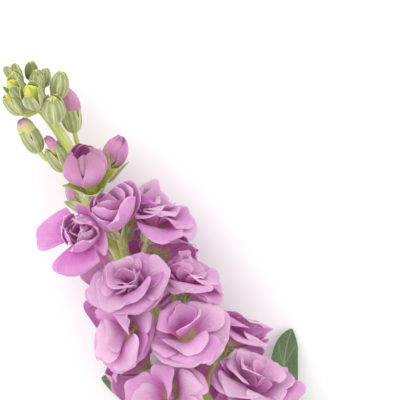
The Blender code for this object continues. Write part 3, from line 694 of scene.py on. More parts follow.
def stemFinish():
    material = greenFinish("stem_green", (0.6, 1.0, 0.3), 0.15, {
        "Sheen Weight": 0.9, "Sheen Roughness": 0.4, "Sheen Tint": rgb(1.0, 0.98, 0.85),
        # the emission is painted light: a faint glow that brightens the stem, its stalks and the bud hearts
        # where they lie in shade
        "Emission Color": rgb(0.85, 0.80, 0.30), "Emission Strength": 0.08})
    place, ridge, ripe, cut = readings(material, "ridge", "ripe", "cut")
    stretched = place.node("ShaderNodeMapping", {"Vector": place, "Scale": (1.0, 0.12, 1.0)})
    fibre, patch = noiseAt(stretched, 900.0, 4.0), noiseAt(place, 120.0, 3.0)
    down = cellsAt(place, greenLook["down"])
    lower = parted(place).other("Y") * -1.0
    colour = layered("low", greenLook["stem"], (ridge * 0.7 + patch * 0.7 - 0.25, "high"),
                     (lower.between(-0.08, 0.15) * 0.8, "hard"),
                     ((lower + (patch - 0.5) * 0.05).between(0.12, 0.19) * 0.5, "bark"),
                     (fibre.between(0.50, 0.30) * 0.5, "low"), (fibre.between(0.5, 0.72) * 0.5, "pale"),
                     (ripe.between(0.1, 0.55), "heart"),
                     # ripe hearts turn yellow on their ridges; their furrows keep the darker green, partly
                     # painted shade in the folds
                     ((ripe + (patch - 0.5) * 0.3 + ridge * 0.45 - 0.4).between(0.5, 0.95), "core"),
                     (cut * (0.5 + fibre), "pith"))
    height = fibre * 0.6 + ridge * 0.4 + down * 0.3
    return coat(material, colour, 0.46 + patch * 0.18, height, 0.4, 0.0002)


def sepalFinish():
    material = greenFinish("sepal_green", (0.6, 1.0, 0.3), 0.2, {
        "Sheen Weight": 0.4, "Sheen Roughness": 0.5})
    place, along, across, tint, inner, shade = readings(
        material, "along", "across", "tint", "inner", "shade")
    patch, down = noiseAt(place, 260.0, 3.0), cellsAt(place, greenLook["down"] * 1.6)
    stripe = ((across + (patch - 0.5) * 0.30) * (3.0 * math.pi)).maths("COSINE") * 0.5 + 0.5
    margin = abs(across).between(0.78, 0.95).maths("MAXIMUM", along.between(0.90, 1.0))
    worn = (along + (patch - 0.5) * 0.2).between(0.80, 1.0) * shade * (0.6 + tint * 1.2)
    colour = layered("furrow", greenLook["sepal"], (patch * 1.3 - 0.15, "blade"),
                     (stripe ** 1.8 * along.between(1.0, 0.70) * (patch * 1.1 + 0.1), "rib"),
                     ((along + patch * 0.2).between(0.34, 0.05) * 0.6, "foot"),
                     (shade.between(0.35, 1.0) * 0.85, "dark"), (margin * (1.0 - shade * 0.7), "margin"),
                     (worn, "blush"), (inner * 0.92, "inside"))
    height = stripe * 0.8 + down * 0.35 + patch * 0.3
    return coat(material, colour, 0.58 + patch * 0.15 - inner * 0.12, height, 0.45, 0.0003)


def leafFinish():
    material = greenFinish("leaf_green", (0.5, 1.0, 0.25), 0.12, {
        "Sheen Weight": 0.5, "Sheen Roughness": 0.55})
    place, along, across, inner = readings(material, "along", "across", "inner")
    patch, down = noiseAt(place, 90.0, 4.0), noiseAt(place, 2400.0, 2.0)
    net = cellsAt(place, 420.0, feature="DISTANCE_TO_EDGE")
    side = (along * 34.0 - abs(across) * 5.5 + patch * 1.2).maths("SINE")
    sideVein = side.between(0.86, 1.0) * abs(across).between(0.95, 0.6)
    vein = abs(across).between(0.10, 0.02).maths("MAXIMUM", sideVein * 0.55)
    vein = vein.maths("MAXIMUM", net.between(0.10, 0.0) * 0.22)
    colour = layered("dark", greenLook["leaf"], (patch * 1.3 - 0.2, "light"), (inner * 0.75, "under"),
                     (vein * 0.75, "vein"))
    return coat(material, colour, 0.62 + patch * 0.16, down * 0.5 - vein * 0.8 + patch * 0.4, 0.5, 0.0003)


sharpFrom = 62.0  # degrees between two faces from which their edge is drawn sharp


def gather():  # where the sheets of one piece are collected
    return {"points": [], "faces": [], "marks": {}, "count": 0}


def collect(into, points, faces, marks):
    into["points"].append(points)
    into["faces"] += [tuple(corner + into["count"] for corner in face) for face in faces]
    into["count"] += len(points)
    for name, values in marks.items():
        into["marks"].setdefault(name, []).append(values)


def sheetFaces(columns, rows):  # both sides of one thick sheet and the strip round its rim
    def at(c, r, side):
        return side * columns * rows + c * rows + r

    faces = []
    for c in range(columns - 1):
        for r in range(rows - 1):
            faces.append((at(c, r, 0), at(c + 1, r, 0), at(c + 1, r + 1, 0), at(c, r + 1, 0)))
            faces.append((at(c, r, 1), at(c, r + 1, 1), at(c + 1, r + 1, 1), at(c + 1, r, 1)))
    rim = [(c, 0) for c in range(columns - 1)] + [(columns - 1, r) for r in range(rows - 1)]
    rim += [(c, rows - 1) for c in range(columns - 1, 0, -1)] + [(0, r) for r in range(rows - 1, 0, -1)]
    for (c0, r0), (c1, r1) in zip(rim, rim[1:] + rim[:1]):
        faces.append((at(c1, r1, 0), at(c0, r0, 0), at(c0, r0, 1), at(c1, r1, 1)))
    return faces


def relax(grid, rounds=2):  # softens the bends of a pressed sheet: points move between their neighbours
    for _ in range(rounds):
        for axis in (0, 1):
            moved = np.moveaxis(grid, axis, 0).copy()
            moved[1:-1] = 0.5 * moved[1:-1] + 0.25 * (moved[:-2] + moved[2:])
            grid = np.moveaxis(moved, 0, axis)
    return grid


def thickSheet(grid, thick):  # points on both sides of a grid of middle points
    normal = np.cross(np.gradient(grid, axis=0), np.gradient(grid, axis=1))
    normal /= np.linalg.norm(normal, axis=-1, keepdims=True) + 1e-9
    upper, lower = grid + normal * thick / 2, grid - normal * thick / 2
    return np.concatenate([upper.reshape(-1, 3), lower.reshape(-1, 3)])


def readMesh(mesh, names):  # its points, and its marks by name
    points = np.empty(len(mesh.vertices) * 3)
    mesh.vertices.foreach_get("co", points)
    marks = {name: np.empty(len(mesh.vertices), dtype=np.float32) for name in names}
    for name, values in marks.items():
        mesh.attributes[name].data.foreach_get("value", values)
    return points.reshape(-1, 3), marks


def addRing(into, ring, look, shape, extra):  # grows a ring of petals and adds its sheets
    columns, rows = look["columns"], look["rows"]
    mesh = growMesh(petalRing, {"Columns": columns, "Rows": rows, **ring})
    points, marks = readMesh(mesh, ("along", "across", "tint"))
    bpy.data.meshes.remove(mesh)
    size = columns * rows
    for first in range(0, len(points), size):
        part = slice(first, first + size)
        grid = relax(shape(points[part]).reshape(columns, rows, 3))
        sheet = {name: np.tile(values[part], 2) for name, values in marks.items()}
        sheet["inner"] = np.repeat([0.0, 1.0], size)
        sheet.update({name: np.full(size * 2, value) for name, value in extra.items()})
        collect(into, thickSheet(grid, look["thick"]), sheetFaces(columns, rows), sheet)


def makePiece(name, gathered, finish, slot, *nodes):  # a finished piece in metres, on the CAD's frame
    points = (np.concatenate(gathered["points"]) + shift) * mm
    mesh = bpy.data.meshes.new(name)
    mesh.from_pydata(points.tolist(), [], gathered["faces"])
    for mark, values in gathered["marks"].items():
        setMark(mesh, mark, np.concatenate(values).astype(np.float32))
    mesh.materials.append(finish)
    mesh.shade_smooth()
    mesh.set_sharp_from_angle(angle=math.radians(sharpFrom))
    piece = addToScene(name, mesh)
    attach(piece, "root")
    if nodes:
        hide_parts(*nodes)
    return piece


# Petal rings from the outside in, for a full-sized flower. A row gives the number of petals, the foot,
# knee, shoulder and tip of their middle line, half width, curl at foot and tip, ruffle and its waves,
# and then as much of the look's own columns as the ring needs.
ringColumns = ("Petals", "Foot", "Knee", "Shoulder", "Tip", "Half Width", "Curl Foot", "Curl Tip",
               "Ruffle", "Waves")
bloomLook = {
    "press": 4.6,
    "thick": 0.2,
    "rows": 15,
    "columns": 15,
    # waves: how many, least and greatest length, and steepness; how far the top drifts aside, and
    # the height above which both act in full
    "crumple": {"bends": ((6, 10.0, 24.0, 0.34), (5, 5.5, 9.0, 0.17)), "drift": 4.4, "from": 9.0},
    "crumpled": {"bloom": 1.0, "loose": 1.0, "half": 0.45, "ball": 0.35},  # how much each look is
    "guards": (-0.8, 0.6, 0.0),  # one outer petal of a ball-shaped bloom points this way
    "closing": 0.6,  # how far the inner rings of the youngest blooms are cupped up
    "closedUntil": 0.2,  # the age at which none is cupped any more
    "tight": 0.16,  # how much closer the innermost ring of the youngest is
    # how a ring's petals differ: at the outermost ring, and by how much more at the innermost
    "spreads": {"Turn Spread": (9.0, 20.0), "Lean Spread": (0.06, 0.18)},
    "folds": {"Crease Spread": (0.04, 0.22), "Tip Spread": (1.2, 2.2)},
    "turned": (137.5, 12.0),  # degrees from ring to ring, and how far chance turns one
    "order": (*ringColumns, "Crease", "Notch"),
    "bloom": (
        (4, (1.2, -1.2), (8.0, 6.0), (16.5, 7.8), (22.5, 1.4), 12.4, 0.10, -0.02, 0.6, 1.4),
        (4, (1.2, -0.8), (7.0, 7.2), (14.0, 10.0), (19.2, 6.4), 11.4, 0.10, 0.0, 0.9, 1.5),
        (4, (1.0, -0.2), (5.0, 8.2), (10.4, 12.4), (14.8, 10.8), 9.8, 0.10, 0.02, 1.2, 1.6, 0.04),
        (3, (0.8, 0.4), (3.6, 7.6), (7.0, 12.6), (10.0, 13.0), 8.6, 0.11, 0.04, 1.4, 1.6, 0.12),
        (3, (0.5, 0.8), (1.8, 6.6), (3.4, 11.4), (5.6, 13.6), 6.8, 0.12, 0.05, 1.2, 1.4, 0.16),
    ),
    "half": (
        (4, (1.2, -1.4), (10.5, 1.5), (12.5, 9.5), (12.6, 17.5), 10.4, 0.11, 0.05, 0.5, 1.3),
        (3, (1.2, -0.8), (8.0, 3.5), (10.0, 11.5), (9.8, 18.5), 9.4, 0.12, 0.06, 0.7, 1.5),
        (3, (1.0, 0.0), (5.4, 5.0), (6.8, 12.0), (6.4, 17.6), 7.8, 0.13, 0.08, 0.8, 1.6, 0.08),
        (3, (0.6, 0.6), (2.6, 6.0), (3.6, 12.0), (3.0, 16.0), 5.8, 0.14, 0.10, 0.7, 1.5, 0.22),
    ),
    "loose": (
        (4, (1.2, -1.2), (8.0, 4.6), (17.0, 6.4), (23.5, 0.6), 13.4, 0.08, -0.03, 0.9, 1.2, 0.0, 0.10),
        (4, (1.4, -0.6), (7.0, 5.6), (14.6, 9.0), (20.0, 5.0), 12.2, 0.08, -0.02, 1.2, 1.3, -0.05, 0.10),
        (3, (1.4, 0.0), (4.8, 7.4), (10.4, 11.6), (15.6, 9.4), 9.4, 0.10, 0.02, 1.4, 1.4, 0.08),
        (2, (1.2, 0.4), (3.0, 6.4), (5.8, 10.8), (9.6, 12.0), 7.0, 0.12, 0.05, 1.2, 1.5, 0.16),
    ),
    "ball": (
        (4, (1.2, -1.4), (9.5, 3.5), (17.5, 4.0), (25.0, -2.0), 12.0, 0.09, -0.03, 0.5, 1.2),
        (3, (1.2, -0.8), (9.0, 0.5), (9.8, 9.6), (4.6, 14.6), 9.0, 0.12, 0.13, 0.4, 1.2),
        (3, (1.0, -0.2), (7.2, 1.5), (7.8, 11.0), (2.2, 15.0), 7.6, 0.14, 0.15, 0.5, 1.4),
        (3, (0.8, 0.4), (5.2, 3.0), (5.6, 11.6), (1.2, 15.0), 6.0, 0.17, 0.20, 0.5, 1.5, 0.06),
        (3, (0.6, 0.8), (3.4, 4.0), (3.6, 11.6), (1.0, 15.2), 4.6, 0.22, 0.26, 0.5, 1.4, 0.14),
    ),
    "shared": {"Claw": 0.24, "Widest": 0.66, "Tip Width": 0.52, "Tip Round": 0.20, "Notch": 0.03,
               "Tuck": 0.9, "Wobble": 0.6, "Roll": 0.6, "Length Spread": 0.08},
}


# What cupping a ring up does to it, by its size: drawn in, raised and curled
cupping = {"in": 0.45, "up": 0.34, "curl": 0.07}


def ringValues(flower, look, number, closing=0.0, tight=0.0):  # what the tree is given for one ring
    size, given = flower["size"], dict(zip(look["order"], look[flower["look"]][number]))
    ring = {**look["shared"], **given, "Turn Step": 360.0 / given["Petals"]}
    ring["Seed"] = flower["n"] * 10 + number
    for name in ("Foot", "Knee", "Shoulder", "Tip"):  # closing cups a ring up, tight draws it inwards
        out, up = given[name]
        nearer = out * (1.0 - cupping["in"] * closing) * (1.0 - tight)
        ring[name] = (nearer * size, (up + cupping["up"] * out * closing) * size)
    for name in ("Half Width", "Ruffle"):
        ring[name] = given[name] * size
    for name in ("Curl Foot", "Curl Tip"):
        ring[name] = (given[name] + cupping["curl"] * closing) / size
    return ring


def pressedInto(flower, walls, look, bend=None):  # puts points in place and presses them into their room
    def shape(local):
        placed = toWorld(bend(local) if bend else local, flower["foot"], flower, flower["turn"])
        return squeeze(placed, flower["heart"], walls, look["press"])

    return shape


def crumpleOf(draw, look, crumpled):  # smooth waves bend a whole flower alike, so its petals stay in order
    waves = []
    for count, shortest, longest, steep in look["bends"]:
        for _ in range(count):
            way = unit(np.array([draw.gauss(0, 1), draw.gauss(0, 1), draw.gauss(0, 0.6)]))
            push = unit(np.cross(way, [draw.gauss(0, 1) for _ in range(3)]))
            long = draw.uniform(shortest, longest)
            push *= steep * crumpled * long / (2 * math.pi)
            waves.append((way * 2 * math.pi / long, push, draw.uniform(0, 2 * math.pi)))
    turn = draw.uniform(0, 2 * math.pi)
    drift = np.array([math.cos(turn), math.sin(turn), 0.0])
    drift *= look["drift"] * crumpled * draw.uniform(0.4, 1.0)

    def bend(local):
        up = np.clip(local[..., 2:] / look["from"], 0.0, 1.0)
        moved = local + drift * up ** 2
        for way, push, start in waves:
            moved = moved + push * np.sin(local @ way + start)[..., None] * up
        return moved

    return bend


def makeBloom(flower, walls, name):
    draw = drawFor(4000, flower["n"])
    gathered = gather()
    size, look, age = flower["size"], flower["look"], flower["age"]
    crumpled = bloomLook["crumpled"][look]
    bend = crumpleOf(drawFor(6000, flower["n"]), bloomLook["crumple"], crumpled)
    shape = pressedInto(flower, walls, bloomLook, bend)
    count = len(bloomLook[look])
    for number in range(count):
        depth = number / (count - 1)
        closing = tight = 0.0
        if look == "bloom":
            tight = (1.0 - age) * bloomLook["tight"] * depth
            if number > 1:
                closing = bloomLook["closing"] * max(0.0, 1.0 - age / bloomLook["closedUntil"])
        ring = ringValues(flower, bloomLook, number, closing, tight)
        for spread, (least, more) in bloomLook["spreads"].items():
            ring[spread] = least + more * depth * crumpled
        for spread, (least, more) in bloomLook["folds"].items():
            ring[spread] = (least + more * depth) * crumpled
        ring["Tip Spread"] *= size
        step, stray = bloomLook["turned"]
        ring["First Turn"] = number * step + draw.uniform(-stray, stray)
        if number == 0 and look == "ball":
            across, over = flower["side"], np.cross(flower["facing"], flower["side"])
            first = math.atan2(over @ bloomLook["guards"], across @ bloomLook["guards"]) - flower["turn"]
            ring["First Turn"] = math.degrees(first)
        addRing(gathered, ring, bloomLook, shape, {"layer": depth, "tone": flower["tone"], "green": 0.0})
    return makePiece(name + "_petals", gathered, finishes["bloom"], "petal_pink", name)


# Wrapped petals of the pink buds, from the outside in
budLook = {
    "press": 5.0,
    "thick": 0.3,
    "rows": 14,
    "columns": 13,
    "green": {15: 1.0, 17: 0.35, 18: 0.5},  # how green the youngest are at the foot of their petals
    "seam": {"burst": 68.0},  # degrees that bring the seam between two petals to the front
    "order": (*ringColumns, "Wobble", "Lean Spread", "Turn Spread"),
    "opening": (
        (3, (1.0, -0.6), (7.4, 0.4), (6.8, 12.0), (0.4, 13.2), 7.0, 0.20, 0.24, 0.3, 1.6, 1.0),
        (3, (0.8, 0.0), (5.8, 1.0), (5.2, 11.4), (0.6, 13.4), 5.6, 0.25, 0.30, 0.3, 1.2, 0.8),
    ),
    "burst": (
        (4, (1.4, -0.4), (5.4, 2.6), (14.0, 7.6), (3.8, 15.4), 7.2, 0.10, 0.24, 0.3, 1.4, 1.2, 0.14, 10.0),
        (4, (1.2, 0.4), (3.4, 3.6), (9.4, 10.0), (2.4, 15.8), 5.4, 0.12, 0.28, 0.6, 1.4, 1.2, 0.12, 14.0),
        (3, (0.8, 0.6), (2.0, 4.0), (4.0, 10.0), (2.6, 14.6), 4.4, 0.14, 0.32, 0.6, 1.4, 1.0, 0.10, 20.0),
    ),
    "parting": (
        (1, (0.8, -2.0), (4.4, -0.4), (4.2, 5.4), (1.8, 8.6), 4.0, 0.30, 0.22, 0.2, 1.2, 0.5),
        (3, (0.8, -2.0), (3.8, -0.6), (4.0, 5.0), (0.9, 6.8), 3.4, 0.34, 0.36, 0.2, 1.2, 0.5),
        (3, (0.6, -1.6), (2.6, -0.2), (2.8, 5.0), (0.5, 6.6), 2.8, 0.40, 0.46, 0.1, 1.0, 0.4),
    ),
    "young": (
        (3, (0.8, -2.0), (4.6, -0.6), (4.4, 6.0), (0.3, 6.6), 4.4, 0.32, 0.36, 0.15, 1.2, 0.5),
        (3, (0.6, -1.6), (3.4, -0.2), (3.4, 5.6), (0.4, 6.9), 3.4, 0.40, 0.46, 0.1, 1.0, 0.4),
    ),
    "shared": {"Claw": 0.35, "Widest": 0.5, "Tip Width": 0.45, "Tip Round": 0.06, "Tuck": 0.55,
               "Turn Spread": 6.0, "Length Spread": 0.04, "Lean Spread": 0.03, "Twist": 0.35},
    # heights and radii of the filling that stops the light
    "core": {"burst": ((0.0, 1.6), (2.0, 1.8), (6.0, 2.6), (9.6, 2.2), (11.0, 1.0)),
             "opening": ((0.0, 1.8), (2.0, 3.4), (6.0, 4.2), (9.6, 3.2), (11.6, 1.4)),
             "young": ((-1.0, 1.6), (0.6, 2.4), (3.0, 2.5), (4.8, 1.6), (5.6, 0.6))},
}


def closedCore(into, profile, shape, marks, sides=14):  # a lathed body, closed at both ends
    points = [(0.0, 0.0, profile[0][0])]
    for height, radius in profile:
        turns = [2 * math.pi * k / sides for k in range(sides)]
        points += [(radius * math.cos(a), radius * math.sin(a), height) for a in turns]
    points.append((0.0, 0.0, profile[-1][0] + profile[-1][1] * 0.4))
    faces = []
    for k in range(sides):
        j = (k + 1) % sides
        faces.append((0, 1 + j, 1 + k))
        for r in range(len(profile) - 1):
            a, b = 1 + r * sides + k, 1 + r * sides + j
            faces.append((a, b, b + sides, a + sides))
        end = 1 + (len(profile) - 1) * sides
        faces.append((end + k, end + j, len(points) - 1))
    collect(into, shape(np.array(points)), faces,
            {name: np.full(len(points), value) for name, value in marks.items()})


def makePinkBud(flower, walls, name):
    draw = drawFor(4000, flower["n"])
    gathered = gather()
    shape = pressedInto(flower, walls, budLook)
    marks = {"tone": flower["tone"], "green": budLook["green"].get(flower["n"], 0.0)}
    for number in range(len(budLook[flower["look"]])):
        ring = ringValues(flower, budLook, number)
        ring["First Turn"] = number * 180.0 / ring["Petals"] + draw.uniform(-15, 15)
        ring["First Turn"] += budLook["seam"].get(flower["look"], 0.0)
        addRing(gathered, ring, budLook, shape, {**marks, "layer": 0.4 * number})
    profile = np.array(budLook["core"][flower["kind"]]) * flower["size"]
    marks.update({"layer": 1.0, "along": 0.5, "across": 0.0, "tint": 0.5, "inner": 0.0})
    closedCore(gathered, profile, shape, marks)
    return makePiece(name + "_petals", gathered, finishes["bud"], "bud_pink", name)


# Four sepals round the foot of each flower. Heights start at the end of the stalk.
sepalLook = {
    "thick": 0.35,
    "rows": 12,
    "columns": 9,
    "order": ("Knee", "Shoulder", "Tip", "Half Width", "Curl Foot", "Curl Tip"),
    "young": ((5.2, 0.6), (4.8, 8.6), (2.9, 11.6), 3.2, 0.30, 0.26),
    "opening": ((5.6, 0.2), (4.4, 6.4), (7.2, 12.0), 3.6, 0.30, 0.16),
    "burst": ((6.6, 0.6), (4.0, 6.4), (12.0, 10.2), 5.2, 0.24, 0.16),
    "half": ((5.0, 0.4), (3.4, 5.6), (5.4, 8.4), 3.0, 0.32, 0.16),
    "bloom": ((4.8, 0.4), (2.8, 4.8), (4.2, 7.2), 2.8, 0.34, 0.2),
    "shared": {"Petals": 4, "Turn Step": 90.0, "Turn Spread": 4.0, "Foot": (0.9, -0.4), "Claw": 0.55,
               "Widest": 0.35, "Tip Width": 0.3, "Tip Round": 0.12, "Tuck": 0.25, "Ruffle": 0.1,
               "Waves": 1.5, "Wobble": 0.5, "Rib": 0.10, "Length Spread": 0.03, "Lean Spread": 0.03},
}


def addSepals(into, owner, ring, look, shade):  # round the end of an owner's stalk
    def shape(local):
        return toWorld(local, owner["end"], owner)

    addRing(into, {**look["shared"], **ring}, look, shape, {"shade": shade})


def makeCalyces(plan):
    gathered = gather()
    for flower in plan:
        ring = dict(zip(sepalLook["order"], sepalLook[flower["kind"]]))
        ring.update({"Seed": 700 + flower["n"], "First Turn": 20.0 + 31.0 * flower["n"]})
        if flower["kind"] == "young":  # as wide as the petals inside them
            ring["Tip"] = (ring["Tip"][0] + 2.0 * max(0.0, flower["size"] - 1.1), ring["Tip"][1])
        shade = 0.0 if flower["kind"] == "burst" else 0.1 + 0.35 * random.Random(flower["n"]).random()
        addSepals(gathered, flower, ring, sepalLook, shade)
    return makePiece("calyces", gathered, finishes["sepal"], "stem_green", "stem")


greenBudLook = {
    "thick": 0.3,
    "rows": 11,
    "columns": 8,
    "shared": {"Petals": 4, "Turn Step": 90.0, "Turn Spread": 5.0, "Foot": (0.5, -0.1), "Claw": 0.6,
               "Widest": 0.42, "Tip Width": 0.35, "Tip Round": 0.10, "Tuck": 0.22, "Ruffle": 0.08,
               "Waves": 1.5, "Wobble": 0.35, "Rib": 0.14, "Length Spread": 0.05, "Lean Spread": 0.06},
    "seats": (6.0, 22.8, 1.1),  # the first place down the stem, the room for the rest, how it stretches
    # each measure at the tip, and what it has gained at the oldest
    "grows": {"tilt": (8.0, 44.0), "up": (2.5, 5.0), "out": (1.2, 5.6), "long": (6.0, 4.6),
              "wide": (1.8, 1.7)},
    "dark": (3, 13),  # small buds that are still deep green
    "parted": {1: 0.4, 4: 1.0, 7: 0.4, 9: 1.0, 10: 0.4, 12: 0.9, 14: 0.35},  # how far open these are
    "closed": 0.1,  # how far open all others are
    "gape": 0.85,  # how far the tips of an open bud stand apart, by its half width
    "strays": {"turn": (-8, 8), "tilt": (-6, 6)},
    "leave": 0.7,  # along the stem and outwards alike
    "heart": ((0.10, 0.5), (0.3, 0.82), (0.55, 0.90), (0.78, 0.74), (0.92, 0.42), (0.985, 0.14)),
}


def greenBudPlan():
    plan = []
    numbers = spikeRule["greenBuds"]
    for n in numbers:
        draw = drawFor(1000, n)
        grown = (n - numbers[0]) / (len(numbers) - 1)
        rule = {name: least + more * grown for name, (least, more) in greenBudLook["grows"].items()}
        lean = spikeRule["greenLeans"].get(n, {})
        stray, leave = greenBudLook["strays"], greenBudLook["leave"]
        angle = spiralAngle(n, lean, draw.uniform(*stray["turn"]))
        nearest, room, stretch = greenBudLook["seats"]
        seat = nearest + room * grown ** stretch
        along, away = outward(seat, angle)
        tilt = math.radians(rule["tilt"] + draw.uniform(*stray["tilt"]) + lean.get("aside", 0))
        end = stemPoint(seat) + along * (rule["up"] + lean.get("up", 0))
        larger = lean.get("larger", 1)
        plan.append({
            "n": n, "grown": grown, "root": bentPoint(seat - lean.get("root", 0)),
            "start": along * leave + away * leave, "end": end + away * (rule["out"] + lean.get("out", 0)),
            "facing": along * math.cos(tilt) + away * math.sin(tilt), "side": np.cross(along, away),
            "long": rule["long"] * larger, "wide": rule["wide"] * larger,
            "open": greenBudLook["parted"].get(n, greenBudLook["closed"]),
        })
    return plan


def makeGreenBuds(plan):
    gathered = gather()
    for bud in plan:
        wide, long, gape = bud["wide"], bud["long"], bud["open"]
        ring = {"Seed": 900 + bud["n"], "First Turn": 45.0 * bud["n"],
                "Knee": (wide * 1.5, long * 0.02), "Shoulder": (wide * 1.3, long * 0.82),
                "Tip": (wide * (0.10 + greenBudLook["gape"] * gape), long * (1.0 - 0.10 * gape)),
                "Half Width": wide * (0.95 - 0.12 * gape), "Curl Foot": 0.85 / wide, "Curl Tip": 1.0 / wide}
        shade = 1.0 if bud["n"] in greenBudLook["dark"] else 0.55 * random.Random(bud["n"]).random()
        addSepals(gathered, bud, ring, greenBudLook, shade)
    return makePiece("green_buds", gathered, finishes["sepal"], "stem_green", "stem")


stemLook = {
    "Sides": 20, "Ridges": 5.0, "Ridge Depth": 0.035, "step": 3.0,
    "point": (-1.5, 0.25),  # where the stem's own tip ends, and its girth there
    "cut": ((3.35, 0.0, 0.2), (2.6, 0.05, 0.9), (1.3, 0.35, 1.0)),  # girth, hollow and paleness of rings
    "cutStep": 0.02,
}
stalkLook = {
    "Sides": 10, "Ridges": 4.0, "Ridge Depth": 0.06, "steps": 8, "budSteps": 5,
    "girth": 0.95, "flare": 0.4,  # a stalk's girth, and how much it widens at the stem
    "socket": ((0.12, 1.5), (0.35, 2.2), (0.7, 2.3), (0.9, 2.0)),  # share of the calyx and girth inside it
    "ripe": 0.3,  # how yellow a stalk is inside its calyx
    "pale": 0.3,  # how pale the scars of fallen leaves are
    "leaf": ((-1.4, 1.5), (0.2, 1.0), (1.0, 0.75), (2.4, 0.45)),  # height over the stem and girth
    "scar": ((-1.2, 1.5), (0.1, 1.35), (0.45, 1.15), (0.5, 0.7)),
    "scars": ((301.0, 70.0), (308.0, -62.0), (318.0, 24.0), (327.0, -96.0), (337.0, 80.0), (349.0, -20.0)),
}
heartLook = {"Sides": 20, "Ridges": 3.0, "Ridge Depth": 0.16}


def pathMesh(paths):  # edge paths with a girth and a ripeness at each point
    points, girths, ripes = zip(*(row for path in paths for row in path))
    starts = set(np.cumsum([0] + [len(path) for path in paths]).tolist())
    edges = [(k - 1, k) for k in range(len(points)) if k not in starts]
    mesh = bpy.data.meshes.new("paths")
    mesh.from_pydata([tuple(point) for point in points], edges, [])
    setMark(mesh, "girth", girths)
    setMark(mesh, "ripe", ripes)
    return mesh


def addSweep(into, paths, look):
    mesh = growMesh(stalkSweep, look, pathMesh(paths))
    points, marks = readMesh(mesh, ("ridge", "ripe"))
    marks["cut"] = np.zeros(len(mesh.vertices))
    collect(into, points, [tuple(face.vertices) for face in mesh.polygons], marks)


def addStem(into):  # the stem itself, with its slanting cut
    count = round(stemRule["length"] / stemLook["step"])
    stations = [stemRule["length"] * k / count for k in range(count + 1)]
    along, side = stemFrame(stemRule["length"])[:2]
    end = stemPoint(stemRule["length"])
    tipAt, tipGirth = stemLook["point"]
    path = [(stemPoint(tipAt), tipGirth, 0.0)] + [(bentPoint(s), stemRadius(s), 0.0) for s in stations]
    path += [(end - along * stemLook["cutStep"] * (number + 1), ring[0], 0.0)
             for number, ring in enumerate(stemLook["cut"])]
    addSweep(into, [path], stemLook)
    points, cut = into["points"][-1], into["marks"]["cut"][-1]
    atEnd = np.abs((points - end) @ along) < 0.5
    slant = stemRule["cutSlant"]
    points[atEnd] += np.outer((points[atEnd] - end) @ side / stemRadius(stemRule["length"]) * slant, along)
    points[:, 2] = np.maximum(points[:, 2], 0.02)
    for number, (girth, hollow, paleness) in enumerate(stemLook["cut"]):
        first = (len(path) - len(stemLook["cut"]) + number) * stemLook["Sides"]
        points[first:first + stemLook["Sides"]] += along * hollow
        cut[first:first + stemLook["Sides"]] = paleness


def spoke(start, way, rows, ripe=0.0):  # a short straight path; its rows say how far and how thick
    return [(start + way * over, girth, ripe) for over, girth in rows]


def makeStem(plan, buds):
    gathered = gather()
    addStem(gathered)
    steps, paths = stalkLook["steps"], []
    for flower in plan:
        path = [(p, stalkLook["girth"] + stalkLook["flare"] * max(0.0, 1 - 2.6 * k / steps) ** 1.5, 0.0)
                for k, p in enumerate(stalkLine(flower, steps))]
        calyx = flower["facing"] * flower["long"]
        paths.append(path + spoke(flower["end"], calyx, stalkLook["socket"], stalkLook["ripe"]))
    for bud in buds:
        paths.append([(p, (0.75 + 0.2 * bud["grown"]) * (1.0 + 0.5 * max(0.0, 1 - 0.6 * k)), 0.0)
                      for k, p in enumerate(stalkLine(bud, stalkLook["budSteps"]))])
    for number, seat in enumerate(leafRule["seats"]):
        start, first = leafCurve(number)[:2]
        away = unit(start - stemPoint(seat))
        lean = unit(away * 0.8 + unit(first - start) * 0.6)
        paths.append(spoke(start, away, stalkLook["leaf"][:1]) + spoke(start, lean, stalkLook["leaf"][1:]))
    addSweep(gathered, paths, stalkLook)
    scars = []
    for seat, angle in stalkLook["scars"]:
        away = outward(seat, angle)[1]
        scars.append(spoke(stemPoint(seat) + away * stemRadius(seat), away, stalkLook["scar"]))
    addSweep(gathered, scars, stalkLook)
    gathered["marks"]["cut"][-1][:] = stalkLook["pale"]
    hearts = []
    for bud in buds:
        full, axis = bud["wide"] * (0.76 + 0.16 * bud["open"]), bud["facing"] * bud["long"]
        hearts.append([(bud["end"] + axis * share, full * girth, smoothStep(share * 1.6))
                       for share, girth in greenBudLook["heart"]])
    addSweep(gathered, hearts, heartLook)
    return makePiece("stem_and_stalks", gathered, finishes["stem"], "stem_green", "stem")


leafShape = {"rows": 44, "columns": 13, "thick": 0.5, "wave": 0.5, "waves": 7.0, "rib": 0.45,
             "curlDown": 0.10}


